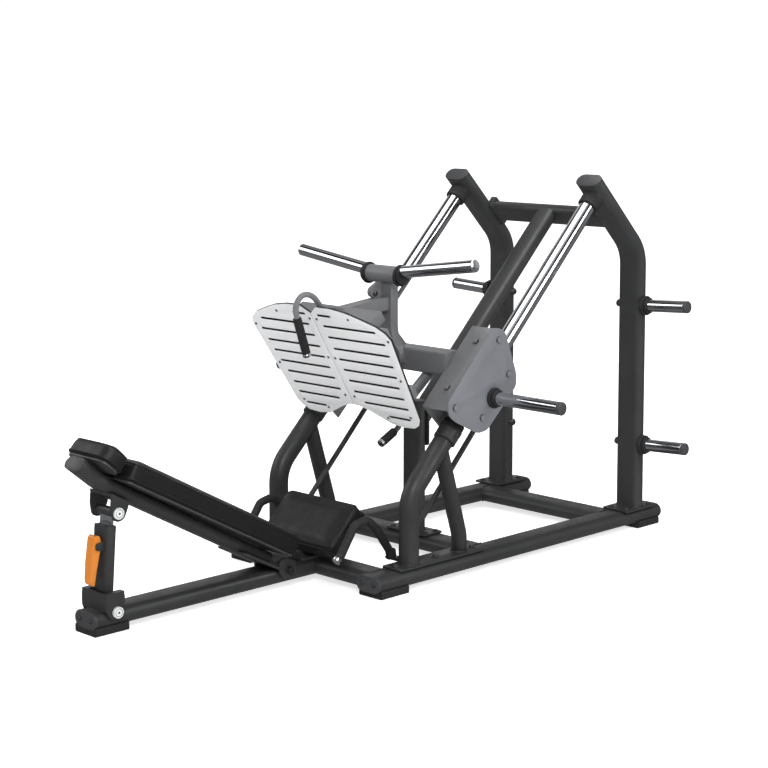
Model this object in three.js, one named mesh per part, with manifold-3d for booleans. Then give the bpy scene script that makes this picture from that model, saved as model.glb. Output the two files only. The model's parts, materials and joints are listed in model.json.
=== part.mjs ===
// Plate-loaded 45 degree leg press, millimetres, +Z up.
// +X is the right-hand side of a person seated in it, +Y runs from the head end to the tower.
// Side-plane positions are written as [y, z] with y counted from the front edge of the head foot.
import * as THREE from "three";
import { mergeVertices } from "three/addons/utils/BufferGeometryUtils.js";
import Module from "manifold-3d";

// ---- Driving dimensions -------------------------------------------------------------------
const ORIGIN_Y = 1301; // middle of the overall length
const GAP = 0.3; // running gap left between neighbouring pieces

const RAIL_X = 359; // centre of each side rail, post and leg
const TUBE_W = 120; // main flat-oval tube, wide way
const TUBE_H = 60; // main flat-oval tube, narrow way
const TUBE_MID_Z = 50; // height of the base tube centres
const TUBE_TOP_Z = TUBE_MID_Z + TUBE_H / 2;
const SMALL_W = 100; // smaller flat-oval tube, wide way
const SMALL_H = 50; // smaller flat-oval tube, narrow way
const PLATE = 8; // thickness of flange plates

const RAIL_FRONT_Y = 985;
const RAIL_REAR_Y = 2640;
const BEAM_FRONT_Y = 9;
const FRONT_CROSS_Y = 1055;
const MIDDLE_CROSS_Y = 1584;
const REAR_CROSS_Y = 2385;
const FOOT_LENGTH = 139;
const FOOT_WIDTH = 118;

const POST_Y = 2508;
const POST_BEND_Z = 1162;
const POST_END = [2216, 1454];
const ROD_X = 361;
const ROD_D = 65;
const ROD_OFFSET = 850; // the guide rods lie on z = y - ROD_OFFSET
const LEG_D = 76;
const LEG_Y = 1187;
const COLLAR_FROM_Y = 1370;
const COLLAR_TO_Y = 1413;
const BRACE_D = 60;
const COLUMN_Y = 1584;
const COLUMN_TOP_Z = 600;
const SPINE_OFFSET = 1084; // the spine lies on z = y - SPINE_OFFSET
const TOP_CROSS = [2412, 1295];

const PEG_Z = [354, 935];
const PEG_TIP_X = 640;
const PEG_D = 50;

const SIDE_PLATE_X = 427;
const SIDE_PLATE_OUTLINE = [
  [1557, 933], [1602, 928], [1631, 907], [1694, 747], [1694, 698],
  [1529, 548], [1478, 543], [1352, 604], [1320, 631], [1314, 679],
];
const HORN_AXIS = [1563, 668];
const HORN_TIP_X = 771;
const HORN_D = 50;
const HUB = [1420, 1114];
const HUB_D = 68;

const FOOTPLATE_BASE = [1247, 641];
const FOOTPLATE_TILT = THREE.MathUtils.degToRad(31.2); // lean of the plate from upright
const FOOTPLATE_T = 6;

const SUPPORT_PIN = [80, 75];
const CLEVIS_PIN = [97, 409];
const BACK_PIVOT = [856, 72];
const LEVER_PIVOT = [42, 296];
const SEAT_HALF_W = 194;
const HANDLE_X = 260;

const DIAGONAL = Math.SQRT1_2;

// ---- Finishes -----------------------------------------------------------------------------
const FINISH = {
  frame: { color: 0x55585b, roughness: 0.45, metalness: 0.2 },
  carriage: { color: 0xa3a8ac, roughness: 0.4, metalness: 0.25 },
  plate: { color: 0xb4bac2, roughness: 0.4, metalness: 0.3 },
  chrome: { color: 0xd8dadd, roughness: 0.12, metalness: 1.0 },
  aluminium: { color: 0xc3c6c9, roughness: 0.35, metalness: 0.9 },
  rubber: { color: 0x1c1c1d, roughness: 0.85, metalness: 0.0 },
  cap: { color: 0x6d7073, roughness: 0.6, metalness: 0.0 },
  leather: { color: 0x1f1f21, roughness: 0.55, metalness: 0.0 },
  lever: { color: 0xd97f26, roughness: 0.4, metalness: 0.0 },
  grip: { color: 0x222224, roughness: 0.7, metalness: 0.0 },
};

// ---- Solid helpers ------------------------------------------------------------------------
const wasm = await Module();
wasm.setup();

function solid(geometry) {
  const bare = geometry.clone();
  bare.deleteAttribute("normal");
  bare.deleteAttribute("uv");
  const welded = mergeVertices(bare, 1e-3);
  const index = welded.index.array;
  const kept = [];
  for (let i = 0; i < index.length; i += 3) {
    const [a, b, c] = [index[i], index[i + 1], index[i + 2]];
    if (a !== b && b !== c && c !== a) kept.push(a, b, c);
  }
  return new wasm.Manifold(new wasm.Mesh({
    numProp: 3,
    vertProperties: Float32Array.from(welded.attributes.position.array),
    triVerts: Uint32Array.from(kept),
  }));
}

function join(...parts) {
  return parts.reduce((sum, part) => sum.add(part));
}

function cut(body, ...tools) {
  return tools.reduce((left, tool) => left.subtract(tool), body);
}

function mirrored(body) {
  return body.mirror([1, 0, 0]);
}

const group = new THREE.Group();
group.name = "leg_press";

function addNode(name, body, finish) {
  const raw = body.simplify(0.02).getMesh();
  let geometry = new THREE.BufferGeometry();
  const count = raw.vertProperties.length / raw.numProp;
  const positions = new Float32Array(count * 3);
  for (let i = 0; i < count; i += 1) {
    positions[3 * i] = raw.vertProperties[raw.numProp * i];
    positions[3 * i + 1] = raw.vertProperties[raw.numProp * i + 1] - ORIGIN_Y;
    positions[3 * i + 2] = raw.vertProperties[raw.numProp * i + 2];
  }
  geometry.setAttribute("position", new THREE.BufferAttribute(positions, 3));
  geometry.setIndex(Array.from(raw.triVerts));
  geometry.computeVertexNormals();
  const material = new THREE.MeshStandardMaterial(FINISH[finish]);
  material.name = `${name}_${finish}`;
  const mesh = new THREE.Mesh(geometry, material);
  mesh.name = name;
  group.add(mesh);
}

function addPair(name, body, finish) {
  addNode(`${name}_right`, body, finish);
  addNode(`${name}_left`, mirrored(body), finish);
}

// A rounded rectangle as a counter-clockwise ring of points.
function roundedRing(width, height, radius, steps = 4) {
  const ring = [];
  const corners = [[1, 1, 0], [-1, 1, 90], [-1, -1, 180], [1, -1, 270]];
  for (const [sx, sy, start] of corners) {
    const cx = sx * (width / 2 - radius);
    const cy = sy * (height / 2 - radius);
    for (let i = 0; i <= steps; i += 1) {
      const angle = THREE.MathUtils.degToRad(start + (90 * i) / steps);
      const point = [cx + radius * Math.cos(angle), cy + radius * Math.sin(angle)];
      const last = ring[ring.length - 1];
      if (!last || Math.hypot(point[0] - last[0], point[1] - last[1]) > 0.01) ring.push(point);
    }
  }
  const [first, last] = [ring[0], ring[ring.length - 1]];
  if (Math.hypot(first[0] - last[0], first[1] - last[1]) < 0.01) ring.pop();
  return ring;
}

function ovalRing(width, height, steps = 4) {
  return roundedRing(width, height, Math.min(width, height) / 2, steps);
}

function circleRing(diameter, sides = 20) {
  const ring = [];
  for (let i = 0; i < sides; i += 1) {
    const angle = (2 * Math.PI * i) / sides;
    ring.push([(diameter / 2) * Math.cos(angle), (diameter / 2) * Math.sin(angle)]);
  }
  return ring;
}

function ringShape(ring) {
  return new THREE.Shape(ring.map(([x, y]) => new THREE.Vector2(x, y)));
}

// A closed outline with every corner eased by the given radius.
function softShape(points, radius, Kind = THREE.Shape) {
  const shape = new Kind();
  const corners = points.map(([x, y]) => new THREE.Vector2(x, y));
  const count = corners.length;
  corners.forEach((corner, i) => {
    const before = corners[(i + count - 1) % count];
    const after = corners[(i + 1) % count];
    const back = Math.min(radius, before.distanceTo(corner) * 0.45);
    const ahead = Math.min(radius, after.distanceTo(corner) * 0.45);
    const enter = corner.clone().add(before.clone().sub(corner).setLength(back));
    const leave = corner.clone().add(after.clone().sub(corner).setLength(ahead));
    if (i === 0) shape.moveTo(enter.x, enter.y);
    else shape.lineTo(enter.x, enter.y);
    shape.quadraticCurveTo(corner.x, corner.y, leave.x, leave.y);
  });
  shape.closePath();
  return shape;
}

// An extruded shape laid on the axes given: across, up and out.
function prism(shape, depth, across, up, out, origin, options = {}) {
  const geometry = new THREE.ExtrudeGeometry(shape, {
    depth, bevelEnabled: false, curveSegments: 4, ...options,
  });
  const matrix = new THREE.Matrix4().makeBasis(
    new THREE.Vector3(...across), new THREE.Vector3(...up), new THREE.Vector3(...out));
  matrix.setPosition(...origin);
  geometry.applyMatrix4(matrix);
  return solid(geometry);
}

// Plates standing in the side plane, outline [y, z], from x0 to x1.
function sidePrism(shape, x0, x1) {
  return prism(shape, x1 - x0, [0, 1, 0], [0, 0, 1], [1, 0, 0], [x0, 0, 0]);
}

// Plates lying flat, outline [x, y], from z0 to z1.
function flatPrism(shape, z0, z1) {
  return prism(shape, z1 - z0, [1, 0, 0], [0, 1, 0], [0, 0, 1], [0, 0, z0]);
}

// Forms facing along the machine, outline [x, z], from y0 to y1.
function frontPrism(shape, y0, y1) {
  return prism(shape, y1 - y0, [1, 0, 0], [0, 0, 1], [0, -1, 0], [0, y1, 0]);
}

function rect(x0, y0, x1, y1) {
  return ringShape([[x0, y0], [x1, y0], [x1, y1], [x0, y1]]);
}

// A turned bar between two points, with eased rims.
function bar(from, to, diameter, sides = 20, ease = 1) {
  const start = new THREE.Vector3(...from);
  const end = new THREE.Vector3(...to);
  const length = start.distanceTo(end);
  const r = diameter / 2;
  const profile = [
    [0, 0], [r - ease, 0], [r, ease], [r, length - ease], [r - ease, length], [0, length],
  ].map(([x, y]) => new THREE.Vector2(x, y));
  const geometry = new THREE.LatheGeometry(profile, sides);
  const turn = new THREE.Quaternion().setFromUnitVectors(
    new THREE.Vector3(0, 1, 0), end.clone().sub(start).normalize());
  geometry.applyQuaternion(turn);
  geometry.translate(...from);
  return solid(geometry);
}

function hexHead(at, direction, across = 19, height = 7) {
  const geometry = new THREE.CylinderGeometry(across * 0.577, across * 0.577, height, 6);
  geometry.translate(0, height / 2, 0);
  const turn = new THREE.Quaternion().setFromUnitVectors(
    new THREE.Vector3(0, 1, 0), new THREE.Vector3(...direction).normalize());
  geometry.applyQuaternion(turn);
  geometry.translate(...at);
  return solid(geometry);
}

// Points along straight runs in the side plane joined by round bends.
function bentPath(points, radius, steps = 5) {
  const path = [];
  for (let i = 0; i < points.length; i += 1) {
    const here = new THREE.Vector2(...points[i]);
    if (i === 0 || i === points.length - 1) {
      const other = new THREE.Vector2(...points[i === 0 ? 1 : i - 1]);
      const along = i === 0 ? other.sub(here).normalize() : here.clone().sub(other).normalize();
      path.push({ at: here, along });
      continue;
    }
    const arriving = here.clone().sub(new THREE.Vector2(...points[i - 1])).normalize();
    const leaving = new THREE.Vector2(...points[i + 1]).sub(here).normalize();
    const turn = Math.atan2(arriving.cross(leaving), arriving.dot(leaving));
    const setback = radius * Math.tan(Math.abs(turn) / 2);
    const begin = here.clone().addScaledVector(arriving, -setback);
    const side = new THREE.Vector2(-arriving.y, arriving.x).multiplyScalar(Math.sign(turn));
    const centre = begin.clone().addScaledVector(side, radius);
    for (let k = 0; k <= steps; k += 1) {
      const angle = (turn * k) / steps;
      const along = arriving.clone().rotateAround(new THREE.Vector2(), angle);
      const spoke = begin.clone().sub(centre).rotateAround(new THREE.Vector2(), angle);
      path.push({ at: centre.clone().add(spoke), along });
    }
  }
  return path;
}

// A closed skin over equal rings of points, with flat ends.
function loft(rings) {
  const n = rings[0].length;
  const index = [];
  for (let i = 0; i + 1 < rings.length; i += 1) {
    for (let j = 0; j < n; j += 1) {
      const a = i * n + j;
      const b = i * n + ((j + 1) % n);
      index.push(a, a + n, b, b, a + n, b + n);
    }
  }
  const last = (rings.length - 1) * n;
  for (let j = 1; j + 1 < n; j += 1) {
    index.push(0, j, j + 1);
    index.push(last, last + j + 1, last + j);
  }
  const geometry = new THREE.BufferGeometry();
  geometry.setAttribute("position", new THREE.Float32BufferAttribute(rings.flat(2), 3));
  geometry.setIndex(index);
  return solid(geometry);
}

// A ring swept along a smooth curve in space.
function sweepSpace(ring, curve, steps) {
  const frames = curve.computeFrenetFrames(steps, false);
  const rings = [];
  for (let i = 0; i <= steps; i += 1) {
    const at = curve.getPointAt(i / steps);
    rings.push(ring.map(([a, b]) => at.clone()
      .addScaledVector(frames.normals[i], -a)
      .addScaledVector(frames.binormals[i], b)
      .toArray()));
  }
  return loft(rings);
}

// A ring swept along a side-plane path; ring x is sideways, ring y is square to the path.
function sweepSide(ring, path, x = 0) {
  return loft(path.map(({ at, along }) => ring.map(
    ([rx, ry]) => [x + rx, at.x - ry * along.y, at.y + ry * along.x])));
}

function onRods(y) {
  return [y, y - ROD_OFFSET];
}

// ---- Base frame ---------------------------------------------------------------------------
const grown = 2 * GAP;
function railBody(extra = 0) {
  return sweepSide(
    ovalRing(TUBE_W + extra, TUBE_H + extra),
    bentPath([[RAIL_FRONT_Y, TUBE_MID_Z], [RAIL_REAR_Y, TUBE_MID_Z]], 1), RAIL_X);
}

function crossBody(y, extra = 0) {
  const shape = ringShape(ovalRing(TUBE_W + extra, TUBE_H + extra).map(
    ([a, b]) => [y + a, TUBE_MID_Z + b]));
  return sidePrism(shape, -RAIL_X + 20, RAIL_X - 20);
}

function endCap(x, y, outward) {
  const capShape = ringShape(ovalRing(TUBE_W, TUBE_H).map(([a, b]) => [x + a, TUBE_MID_Z + b]));
  const y0 = outward < 0 ? y - 9 : y + GAP;
  const cover = frontPrism(capShape, y0, y0 + 9 - GAP);
  const face = outward < 0 ? y0 : y0 + 9 - GAP;
  const screws = [-30, 30].map(
    (dx) => bar([x + dx, face - outward * 2, TUBE_MID_Z], [x + dx, face + outward * 2, TUBE_MID_Z], 13, 12));
  return join(cover, ...screws);
}

const railGrown = railBody(grown);
const railPairGrown = join(railGrown, mirrored(railGrown));
addPair("base_rail", join(railBody(), endCap(RAIL_X, RAIL_REAR_Y - 1, 1)), "frame");
addPair("rail_front_cap", endCap(RAIL_X, RAIL_FRONT_Y, -1), "cap");

addNode("front_cross_member", cut(crossBody(FRONT_CROSS_Y), railPairGrown), "frame");
addNode("middle_cross_member", cut(crossBody(MIDDLE_CROSS_Y), railPairGrown), "frame");
addNode("rear_cross_member", cut(crossBody(REAR_CROSS_Y), railPairGrown), "frame");

const beamTube = sweepSide(
  ovalRing(TUBE_W, TUBE_H),
  bentPath([[BEAM_FRONT_Y, TUBE_MID_Z], [FRONT_CROSS_Y - 20, TUBE_MID_Z]], 1));
const bracketCheek = (x0) => sidePrism(softShape(
  [[37, 142], [113, 142], [113, 80], [96, 50], [58, 50], [37, 76]], 18), x0, x0 + PLATE);
const bracketTop = cut(
  flatPrism(softShape([[-71, 37], [71, 37], [71, 113], [-71, 113]], 4), 134, 142),
  flatPrism(softShape([[-44, 43], [44, 43], [44, 118], [-44, 118]], 6), 130, 160));
const bracketWeb = frontPrism(rect(-65, 78, 65, 140), 37, 42.5);
const lowerPin = bar([-78, ...SUPPORT_PIN], [78, ...SUPPORT_PIN], 20, 16);
const pinHeads = [-1, 1].map(
  (side) => bar([side * 70, ...SUPPORT_PIN], [side * 82, ...SUPPORT_PIN], 38, 20, 2));
const backStubs = [-1, 1].map(
  (side) => bar([side * 50, ...BACK_PIVOT], [side * 82, ...BACK_PIVOT], 24, 16));
const bracketPocket = sidePrism(softShape(
  [[43, 150], [118, 150], [118, 62], [98, 50], [62, 50], [43, 62]], 8), -44, 44);
const beamBody = join(
  cut(join(beamTube, bracketCheek(63), bracketCheek(-71), bracketTop, bracketWeb), bracketPocket),
  lowerPin, ...pinHeads, ...backStubs);
addNode("centre_beam", cut(beamBody, crossBody(FRONT_CROSS_Y, grown)), "frame");
addNode("head_end_cap", endCap(0, BEAM_FRONT_Y, -1), "cap");

function foot(x, y0) {
  const shape = softShape([
    [x - FOOT_WIDTH / 2, 0], [x + FOOT_WIDTH / 2, 0],
    [x + FOOT_WIDTH / 2, 29], [x - FOOT_WIDTH / 2, 29],
  ], 6);
  const block = frontPrism(shape, y0, y0 + FOOT_LENGTH);
  const tube = frontPrism(ringShape(ovalRing(TUBE_W + grown, TUBE_H + grown).map(
    ([a, b]) => [x + a, TUBE_MID_Z + b])), y0 - 5, y0 + FOOT_LENGTH + 5);
  return cut(block, tube, crossBody(FRONT_CROSS_Y, grown));
}
addNode("head_foot", foot(0, 0), "rubber");
addPair("front_foot", foot(RAIL_X, 990), "rubber");
addPair("rear_foot", foot(RAIL_X, 2495), "rubber");

// ---- Tower --------------------------------------------------------------------------------
const postPath = bentPath([[POST_Y, TUBE_TOP_Z + PLATE - 1], [POST_Y, POST_BEND_Z], POST_END], 150, 6);
function postBody(extra = 0) {
  return sweepSide(ovalRing(TUBE_W + extra, TUBE_H + extra), postPath, RAIL_X);
}
const postFlange = flatPrism(softShape([
  [RAIL_X - 65, POST_Y - 100], [RAIL_X + 65, POST_Y - 100],
  [RAIL_X + 65, POST_Y + 100], [RAIL_X - 65, POST_Y + 100],
], 10), TUBE_TOP_Z + GAP, TUBE_TOP_Z + PLATE);
const flangeBolts = [[-40, -75], [40, -75], [-40, 75], [40, 75]].map(
  ([dx, dy]) => hexHead([RAIL_X + dx, POST_Y + dy, TUBE_TOP_Z + PLATE - 1], [0, 0, 1]));
const pegBolts = PEG_Z.map((z) => bar([RAIL_X - 70, POST_Y, z], [RAIL_X - 40, POST_Y, z], 30, 16));
const socket = bar([ROD_X, ...onRods(2205)], [ROD_X, ...onRods(2252)], 82, 24);
const socketBore = bar([ROD_X, ...onRods(2190)], [ROD_X, ...onRods(2228)], ROD_D + grown, 24, 0.1);
const towerPost = cut(join(postBody(), postFlange, ...flangeBolts, ...pegBolts, socket), socketBore);
addPair("tower_post", towerPost, "frame");

const capFrom = [POST_END[0] - GAP * DIAGONAL, POST_END[1] + GAP * DIAGONAL];
const capTo = [POST_END[0] - 9 * DIAGONAL, POST_END[1] + 9 * DIAGONAL];
addPair("post_cap", sweepSide(ovalRing(TUBE_W + 1, TUBE_H + 1), bentPath([capFrom, capTo], 1), RAIL_X), "cap");

const postGrown = postBody(grown);
const postPairGrown = join(postGrown, mirrored(postGrown));
function diagonalRing(width, height, centre) {
  return ovalRing(width, height).map(([a, b]) => [
    centre[0] + DIAGONAL * (-a + b), centre[1] + DIAGONAL * (a + b),
  ]);
}
const topCrossTube = sidePrism(ringShape(diagonalRing(SMALL_W, SMALL_H, TOP_CROSS).reverse()), -310, 310);
const topCrossPlates = [-1, 1].map((side) => sidePrism(ringShape(
  roundedRing(128, 56, 8, 2).map(([a, b]) => [
    TOP_CROSS[0] + DIAGONAL * (-a + b), TOP_CROSS[1] + DIAGONAL * (a + b),
  ]).reverse()), side > 0 ? 288 : -312, side > 0 ? 312 : -288));
const topCross = cut(join(topCrossTube, ...topCrossPlates), postPairGrown);
addNode("top_cross_member", topCross, "frame");

const columnTube = cut(flatPrism(
  ringShape(ovalRing(SMALL_W, SMALL_H).map(([a, b]) => [a, COLUMN_Y + b])), TUBE_TOP_Z + PLATE - 1, COLUMN_TOP_Z));
const columnCap = flatPrism(
  ringShape(ovalRing(SMALL_W, SMALL_H).map(([a, b]) => [a, COLUMN_Y + b])), COLUMN_TOP_Z - 1, COLUMN_TOP_Z + 5);
const columnFlange = flatPrism(softShape(
  [[-110, COLUMN_Y - 50], [110, COLUMN_Y - 50], [110, COLUMN_Y + 50], [-110, COLUMN_Y + 50]], 12),
  TUBE_TOP_Z + GAP, TUBE_TOP_Z + PLATE);
const columnBolts = [-90, 90].flatMap((x) => [-28, 28].map(
  (dy) => hexHead([x, COLUMN_Y + dy, TUBE_TOP_Z + PLATE - 1], [0, 0, 1])));
addNode("centre_column", join(columnTube, columnCap, columnFlange, ...columnBolts), "frame");

const spineFrom = [1600, 1600 - SPINE_OFFSET];
const spineTo = [2400, 2400 - SPINE_OFFSET];
const spineTube = sweepSide(ovalRing(SMALL_W, SMALL_H), bentPath([spineFrom, spineTo], 1));
const spineRear = COLUMN_Y + SMALL_H / 2 + GAP;
const spineFlange = frontPrism(softShape([[-52, 424], [52, 424], [52, 604], [-52, 604]], 12), spineRear, spineRear + PLATE);
const spineBolts = [-30, 30].map((x) => hexHead([x, spineRear + PLATE - 1, 446], [0, 1, 0]));
const spineKeepOut = frontPrism(rect(-80, 300, 80, 760), 1400, spineRear);
const topCrossGrown = sidePrism(ringShape(
  diagonalRing(SMALL_W + grown, SMALL_H + grown, TOP_CROSS).reverse()), -200, 200);
const beyondCross = sidePrism(ringShape([
  [TOP_CROSS[0] - 90, TOP_CROSS[1] + 90], [TOP_CROSS[0] + 90, TOP_CROSS[1] - 90],
  [TOP_CROSS[0] + 190, TOP_CROSS[1] + 10], [TOP_CROSS[0] + 10, TOP_CROSS[1] + 190],
]), -200, 200);
addNode("spine_beam", join(cut(spineTube, spineKeepOut, topCrossGrown, beyondCross), spineFlange, ...spineBolts), "frame");

// ---- Guide rods and front legs ------------------------------------------------------------
addPair("guide_rod", bar([ROD_X, ...onRods(COLLAR_TO_Y + GAP)], [ROD_X, ...onRods(2227)], ROD_D, 24), "chrome");

const legPath = bentPath([[LEG_Y, TUBE_TOP_Z + PLATE - 1], [LEG_Y, LEG_Y - ROD_OFFSET], onRods(COLLAR_FROM_Y - GAP)], 150, 6);
const legFlange = flatPrism(softShape([
  [RAIL_X - 50, 1095], [RAIL_X + 50, 1095], [RAIL_X + 50, 1550], [RAIL_X - 50, 1550],
], 12), TUBE_TOP_Z + GAP, TUBE_TOP_Z + PLATE);
const legBolts = [1118, 1330, 1530].map((y) => hexHead([RAIL_X, y, TUBE_TOP_Z + PLATE - 1], [0, 0, 1], 24, 9));
const legTube = sweepSide(circleRing(LEG_D, 20), legPath, RAIL_X);
addPair("front_leg", join(legTube, legFlange, ...legBolts), "frame");

const bracePath = bentPath([[1458, TUBE_TOP_Z + PLATE + GAP], [1458, 150], [1350, 500]], 120, 4);
const legGrown = sweepSide(circleRing(LEG_D + grown, 20), legPath, RAIL_X);
const legAbove = sidePrism(ringShape([[1100, 150], [1200, 250], [1420, 570], [1300, 700], [1000, 500]]), 280, 440);
addPair("leg_brace", cut(sweepSide(circleRing(BRACE_D, 20), bracePath, RAIL_X), legGrown, legAbove), "frame");

const collarBody = join(
  bar([ROD_X, ...onRods(COLLAR_FROM_Y)], [ROD_X, ...onRods(COLLAR_TO_Y)], 88, 24, 3),
  bar([ROD_X + 40, ...onRods(1392)], [ROD_X + 48, ...onRods(1392)], 12, 10));
addPair("rod_collar", collarBody, "frame");
const bumperBody = cut(
  bar([ROD_X, ...onRods(COLLAR_TO_Y + GAP)], [ROD_X, ...onRods(COLLAR_TO_Y + 18)], 84, 24, 4),
  bar([ROD_X, ...onRods(COLLAR_TO_Y - 10)], [ROD_X, ...onRods(COLLAR_TO_Y + 40)], ROD_D + grown, 24));
addPair("rod_bumper", bumperBody, "rubber");

const pegRise = Math.tan(THREE.MathUtils.degToRad(3));
function peg(z) {
  const root = [422, POST_Y, z - 0.2];
  const tip = [PEG_TIP_X, POST_Y, z + (PEG_TIP_X - 422) * pegRise];
  const at = (x) => [x, POST_Y, z + (x - 422) * pegRise];
  const body = join(bar(root, tip, PEG_D, 20, 2), bar(at(424), at(450), 80, 24, 4), bar(at(404), at(426), 58, 20));
  return cut(body, postGrown);
}
["lower", "upper"].forEach((level, i) => addPair(`storage_peg_${level}`, peg(PEG_Z[i]), "chrome"));

const stopPath = bentPath([[1222, 92], [1290, 200], [1594, 513], [1634, 553]], 90, 3);
const stopStrip = sweepSide(roundedRing(22, 12, 2, 1), stopPath, 302);
addPair("stop_bar", join(stopStrip, sidePrism(rect(1217.5, 84.4, 1242, 130), 291.5, 297)), "frame");

// ---- Carriage -----------------------------------------------------------------------------
const sideShape = softShape(SIDE_PLATE_OUTLINE.slice().reverse(), 18);
const sideBolts = [[1591, 884], [1648, 749], [1352, 656], [1501, 600]].map(
  ([y, z]) => hexHead([SIDE_PLATE_X + PLATE - 1, y, z], [1, 0, 0], 22, 8));
addPair("side_plate", join(sidePrism(sideShape, SIDE_PLATE_X, SIDE_PLATE_X + PLATE), ...sideBolts), "plate");

// Positions along the rods (s) and square to them (n), turned into [y, z].
function rodPoint(s, n) {
  const drop = ROD_OFFSET * DIAGONAL;
  return [DIAGONAL * (s - n + drop), DIAGONAL * (s + n - drop)];
}
function rodBox(s0, s1, n0, n1, x0, x1) {
  return sidePrism(ringShape([rodPoint(s0, n0), rodPoint(s1, n0), rodPoint(s1, n1), rodPoint(s0, n1)]), x0, x1);
}
const innerX = SIDE_PLATE_X - GAP;
const housingWeb = rodBox(1392, 1780, 120, 130, 306, innerX);
const housingInner = rodBox(1392, 1780, -70, 130, 300, 309);
const bearingSleeves = [[1440, 1540], [1640, 1740]].map(([s0, s1]) => join(
  bar([ROD_X, ...rodPoint(s0, 0)], [ROD_X, ...rodPoint(s1, 0)], 92, 24, 2),
  rodBox(s0 + 12, s1 - 12, -12, 124, 304, innerX)));
const housingBore = bar([ROD_X, ...rodPoint(1300, 0)], [ROD_X, ...rodPoint(1900, 0)], ROD_D + 1.2, 24);
const webBolts = [1489, 1711].map((s) => {
  const [y, z] = rodPoint(s, 129);
  return hexHead([363, y, z], [0, -1, 1], 22, 9);
});
addPair("bearing_housing", cut(join(housingWeb, housingInner, ...bearingSleeves, ...webBolts), housingBore), "carriage");

const sideHorn = join(
  bar([SIDE_PLATE_X + PLATE + GAP, ...HORN_AXIS], [SIDE_PLATE_X + PLATE + 26, ...HORN_AXIS], 78, 24, 4),
  bar([SIDE_PLATE_X + PLATE + 20, ...HORN_AXIS], [HORN_TIP_X, ...HORN_AXIS], HORN_D, 24, 3));
addPair("side_horn", sideHorn, "chrome");

const crossBeam = sidePrism(softShape([[1440, 748], [1530, 748], [1530, 838], [1440, 838]], 12), -299.7, 299.7);
const mastShape = softShape([
  [-40, 1100], [-40, 900], [-58, 850], [-90, 822], [-90, 770], [90, 770], [90, 822], [58, 850], [40, 900], [40, 1100],
], 20);
const mast = frontPrism(mastShape, 1412, 1452);
const mastGusset = sidePrism(softShape([[1412, 1095], [1446, 1095], [1446, 900], [1530, 812], [1530, 760], [1412, 760]], 20), -36, 36);
const hub = bar([-80, ...HUB], [80, ...HUB], HUB_D, 24, 2);
const lug = sidePrism(softShape([[1440, 1100], [1400, 1090], [1345, 1062], [1345, 1036], [1380, 1018], [1440, 1014]], 12), -20, -4);
const upperStrut = sidePrism(ringShape([[1430, 980], [1430, 1030], [1172, 1003], [1190, 957]]), -30, 30);
const middleStrut = sidePrism(ringShape([[1430, 860], [1430, 905], [1262, 862], [1274, 822]]), -30, 30);
const lowerStruts = [-1, 1].map((side) => bar([side * 180, 1500, 760], [side * 180, 1345, 640], 42, 16));
const frameBody = join(crossBeam, mast, mastGusset, hub, lug, upperStrut, middleStrut, ...lowerStruts);

// Positions on the foot-plate plane: sideways x, q up the plate, out towards the sitter.
const tiltSin = Math.sin(FOOTPLATE_TILT);
const tiltCos = Math.cos(FOOTPLATE_TILT);
const platePoint = (q, out) => [
  FOOTPLATE_BASE[0] - tiltSin * q - tiltCos * out, FOOTPLATE_BASE[1] + tiltCos * q - tiltSin * out,
];
function platePrism(shape, out0, out1) {
  return prism(shape, out1 - out0, [1, 0, 0], [0, -tiltSin, tiltCos], [0, -tiltCos, -tiltSin], [0, ...platePoint(0, out0)]);
}
const FOOTPLATE_OUTLINE = [
  [0.6, 416], [43, 448], [119, 447], [192, 435], [260, 413], [325, 389], [362, 362], [378, 333],
  [336, -41], [318, -68], [287, -87], [227, -92], [168, -83], [117, -58], [74, -36], [28, -19], [0.6, -18],
];
const FOOTPLATE_SLOTS = [
  [33, 103, 410], [38, 313, 361], [36, 338, 309], [37, 332, 256], [38, 326, 206],
  [36, 318, 156], [38, 306, 105], [36, 303, 53], [68, 300, 4], [170, 285, -48],
];
const FOOTPLATE_SCREWS = [
  [195, 407], [361, 327], [19, 390], [331, 143], [19, 208], [292, -35], [25, 26], [163, -56],
];
const halfShape = softShape(FOOTPLATE_OUTLINE.slice().reverse(), 6);
for (const [x0, x1, q] of FOOTPLATE_SLOTS) {
  const hole = new THREE.Path(ovalRing(x1 - x0, 10, 2).map(
    ([a, b]) => new THREE.Vector2((x0 + x1) / 2 + a, q + b)));
  halfShape.holes.push(hole);
}
addPair("foot_plate", platePrism(halfShape, -FOOTPLATE_T, 0), "aluminium");

const backRails = [-1, 1].map((side) => platePrism(rect(side * 150 - 25, -60, side * 150 + 25, 390), -46, -FOOTPLATE_T - GAP));
const backCross = [[40, 90], [300, 350]].map(([q0, q1]) => platePrism(rect(-330, q0, 330, q1), -46, -FOOTPLATE_T - GAP));
const deepCross = [platePrism(rect(-215, 150, 215, 200), -100, -43), platePrism(rect(-215, 304, 215, 346), -140, -44)];
const lowPads = [-1, 1].map((side) => platePrism(rect(side * 180 - 30, -40, side * 180 + 30, 30), -100, -40));
const handleCurve = new THREE.CatmullRomCurve3([
  [0, 1012, 842], [0, 989, 910], [0, 966, 976], [2, 958, 1030], [6, 985, 1066], [14, 1026, 1062], [22, 1066, 1016],
  [48, 1130, 905], [90, 1214, 765], [138, 1312, 612], [149, 1345, 561], [150, 1331, 538], [150, 1262, 504],
].map((point) => new THREE.Vector3(...point)), false, "catmullrom", 0.5);
const handleTube = (diameter, sides) => sweepSpace(circleRing(diameter, sides), handleCurve, 30);
const gripAlong = (from, to, diameter) => bar(from, to, diameter, 16, 2);
const topGrip = gripAlong([0, 1014, 836], [0, 964, 984], 31);
const lowGrip = gripAlong([150, 1322, 534], [150, 1257, 501], 31);
const lowGripEnd = gripAlong([150, 1262, 503.5], [150, 1247, 496], 35);
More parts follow.
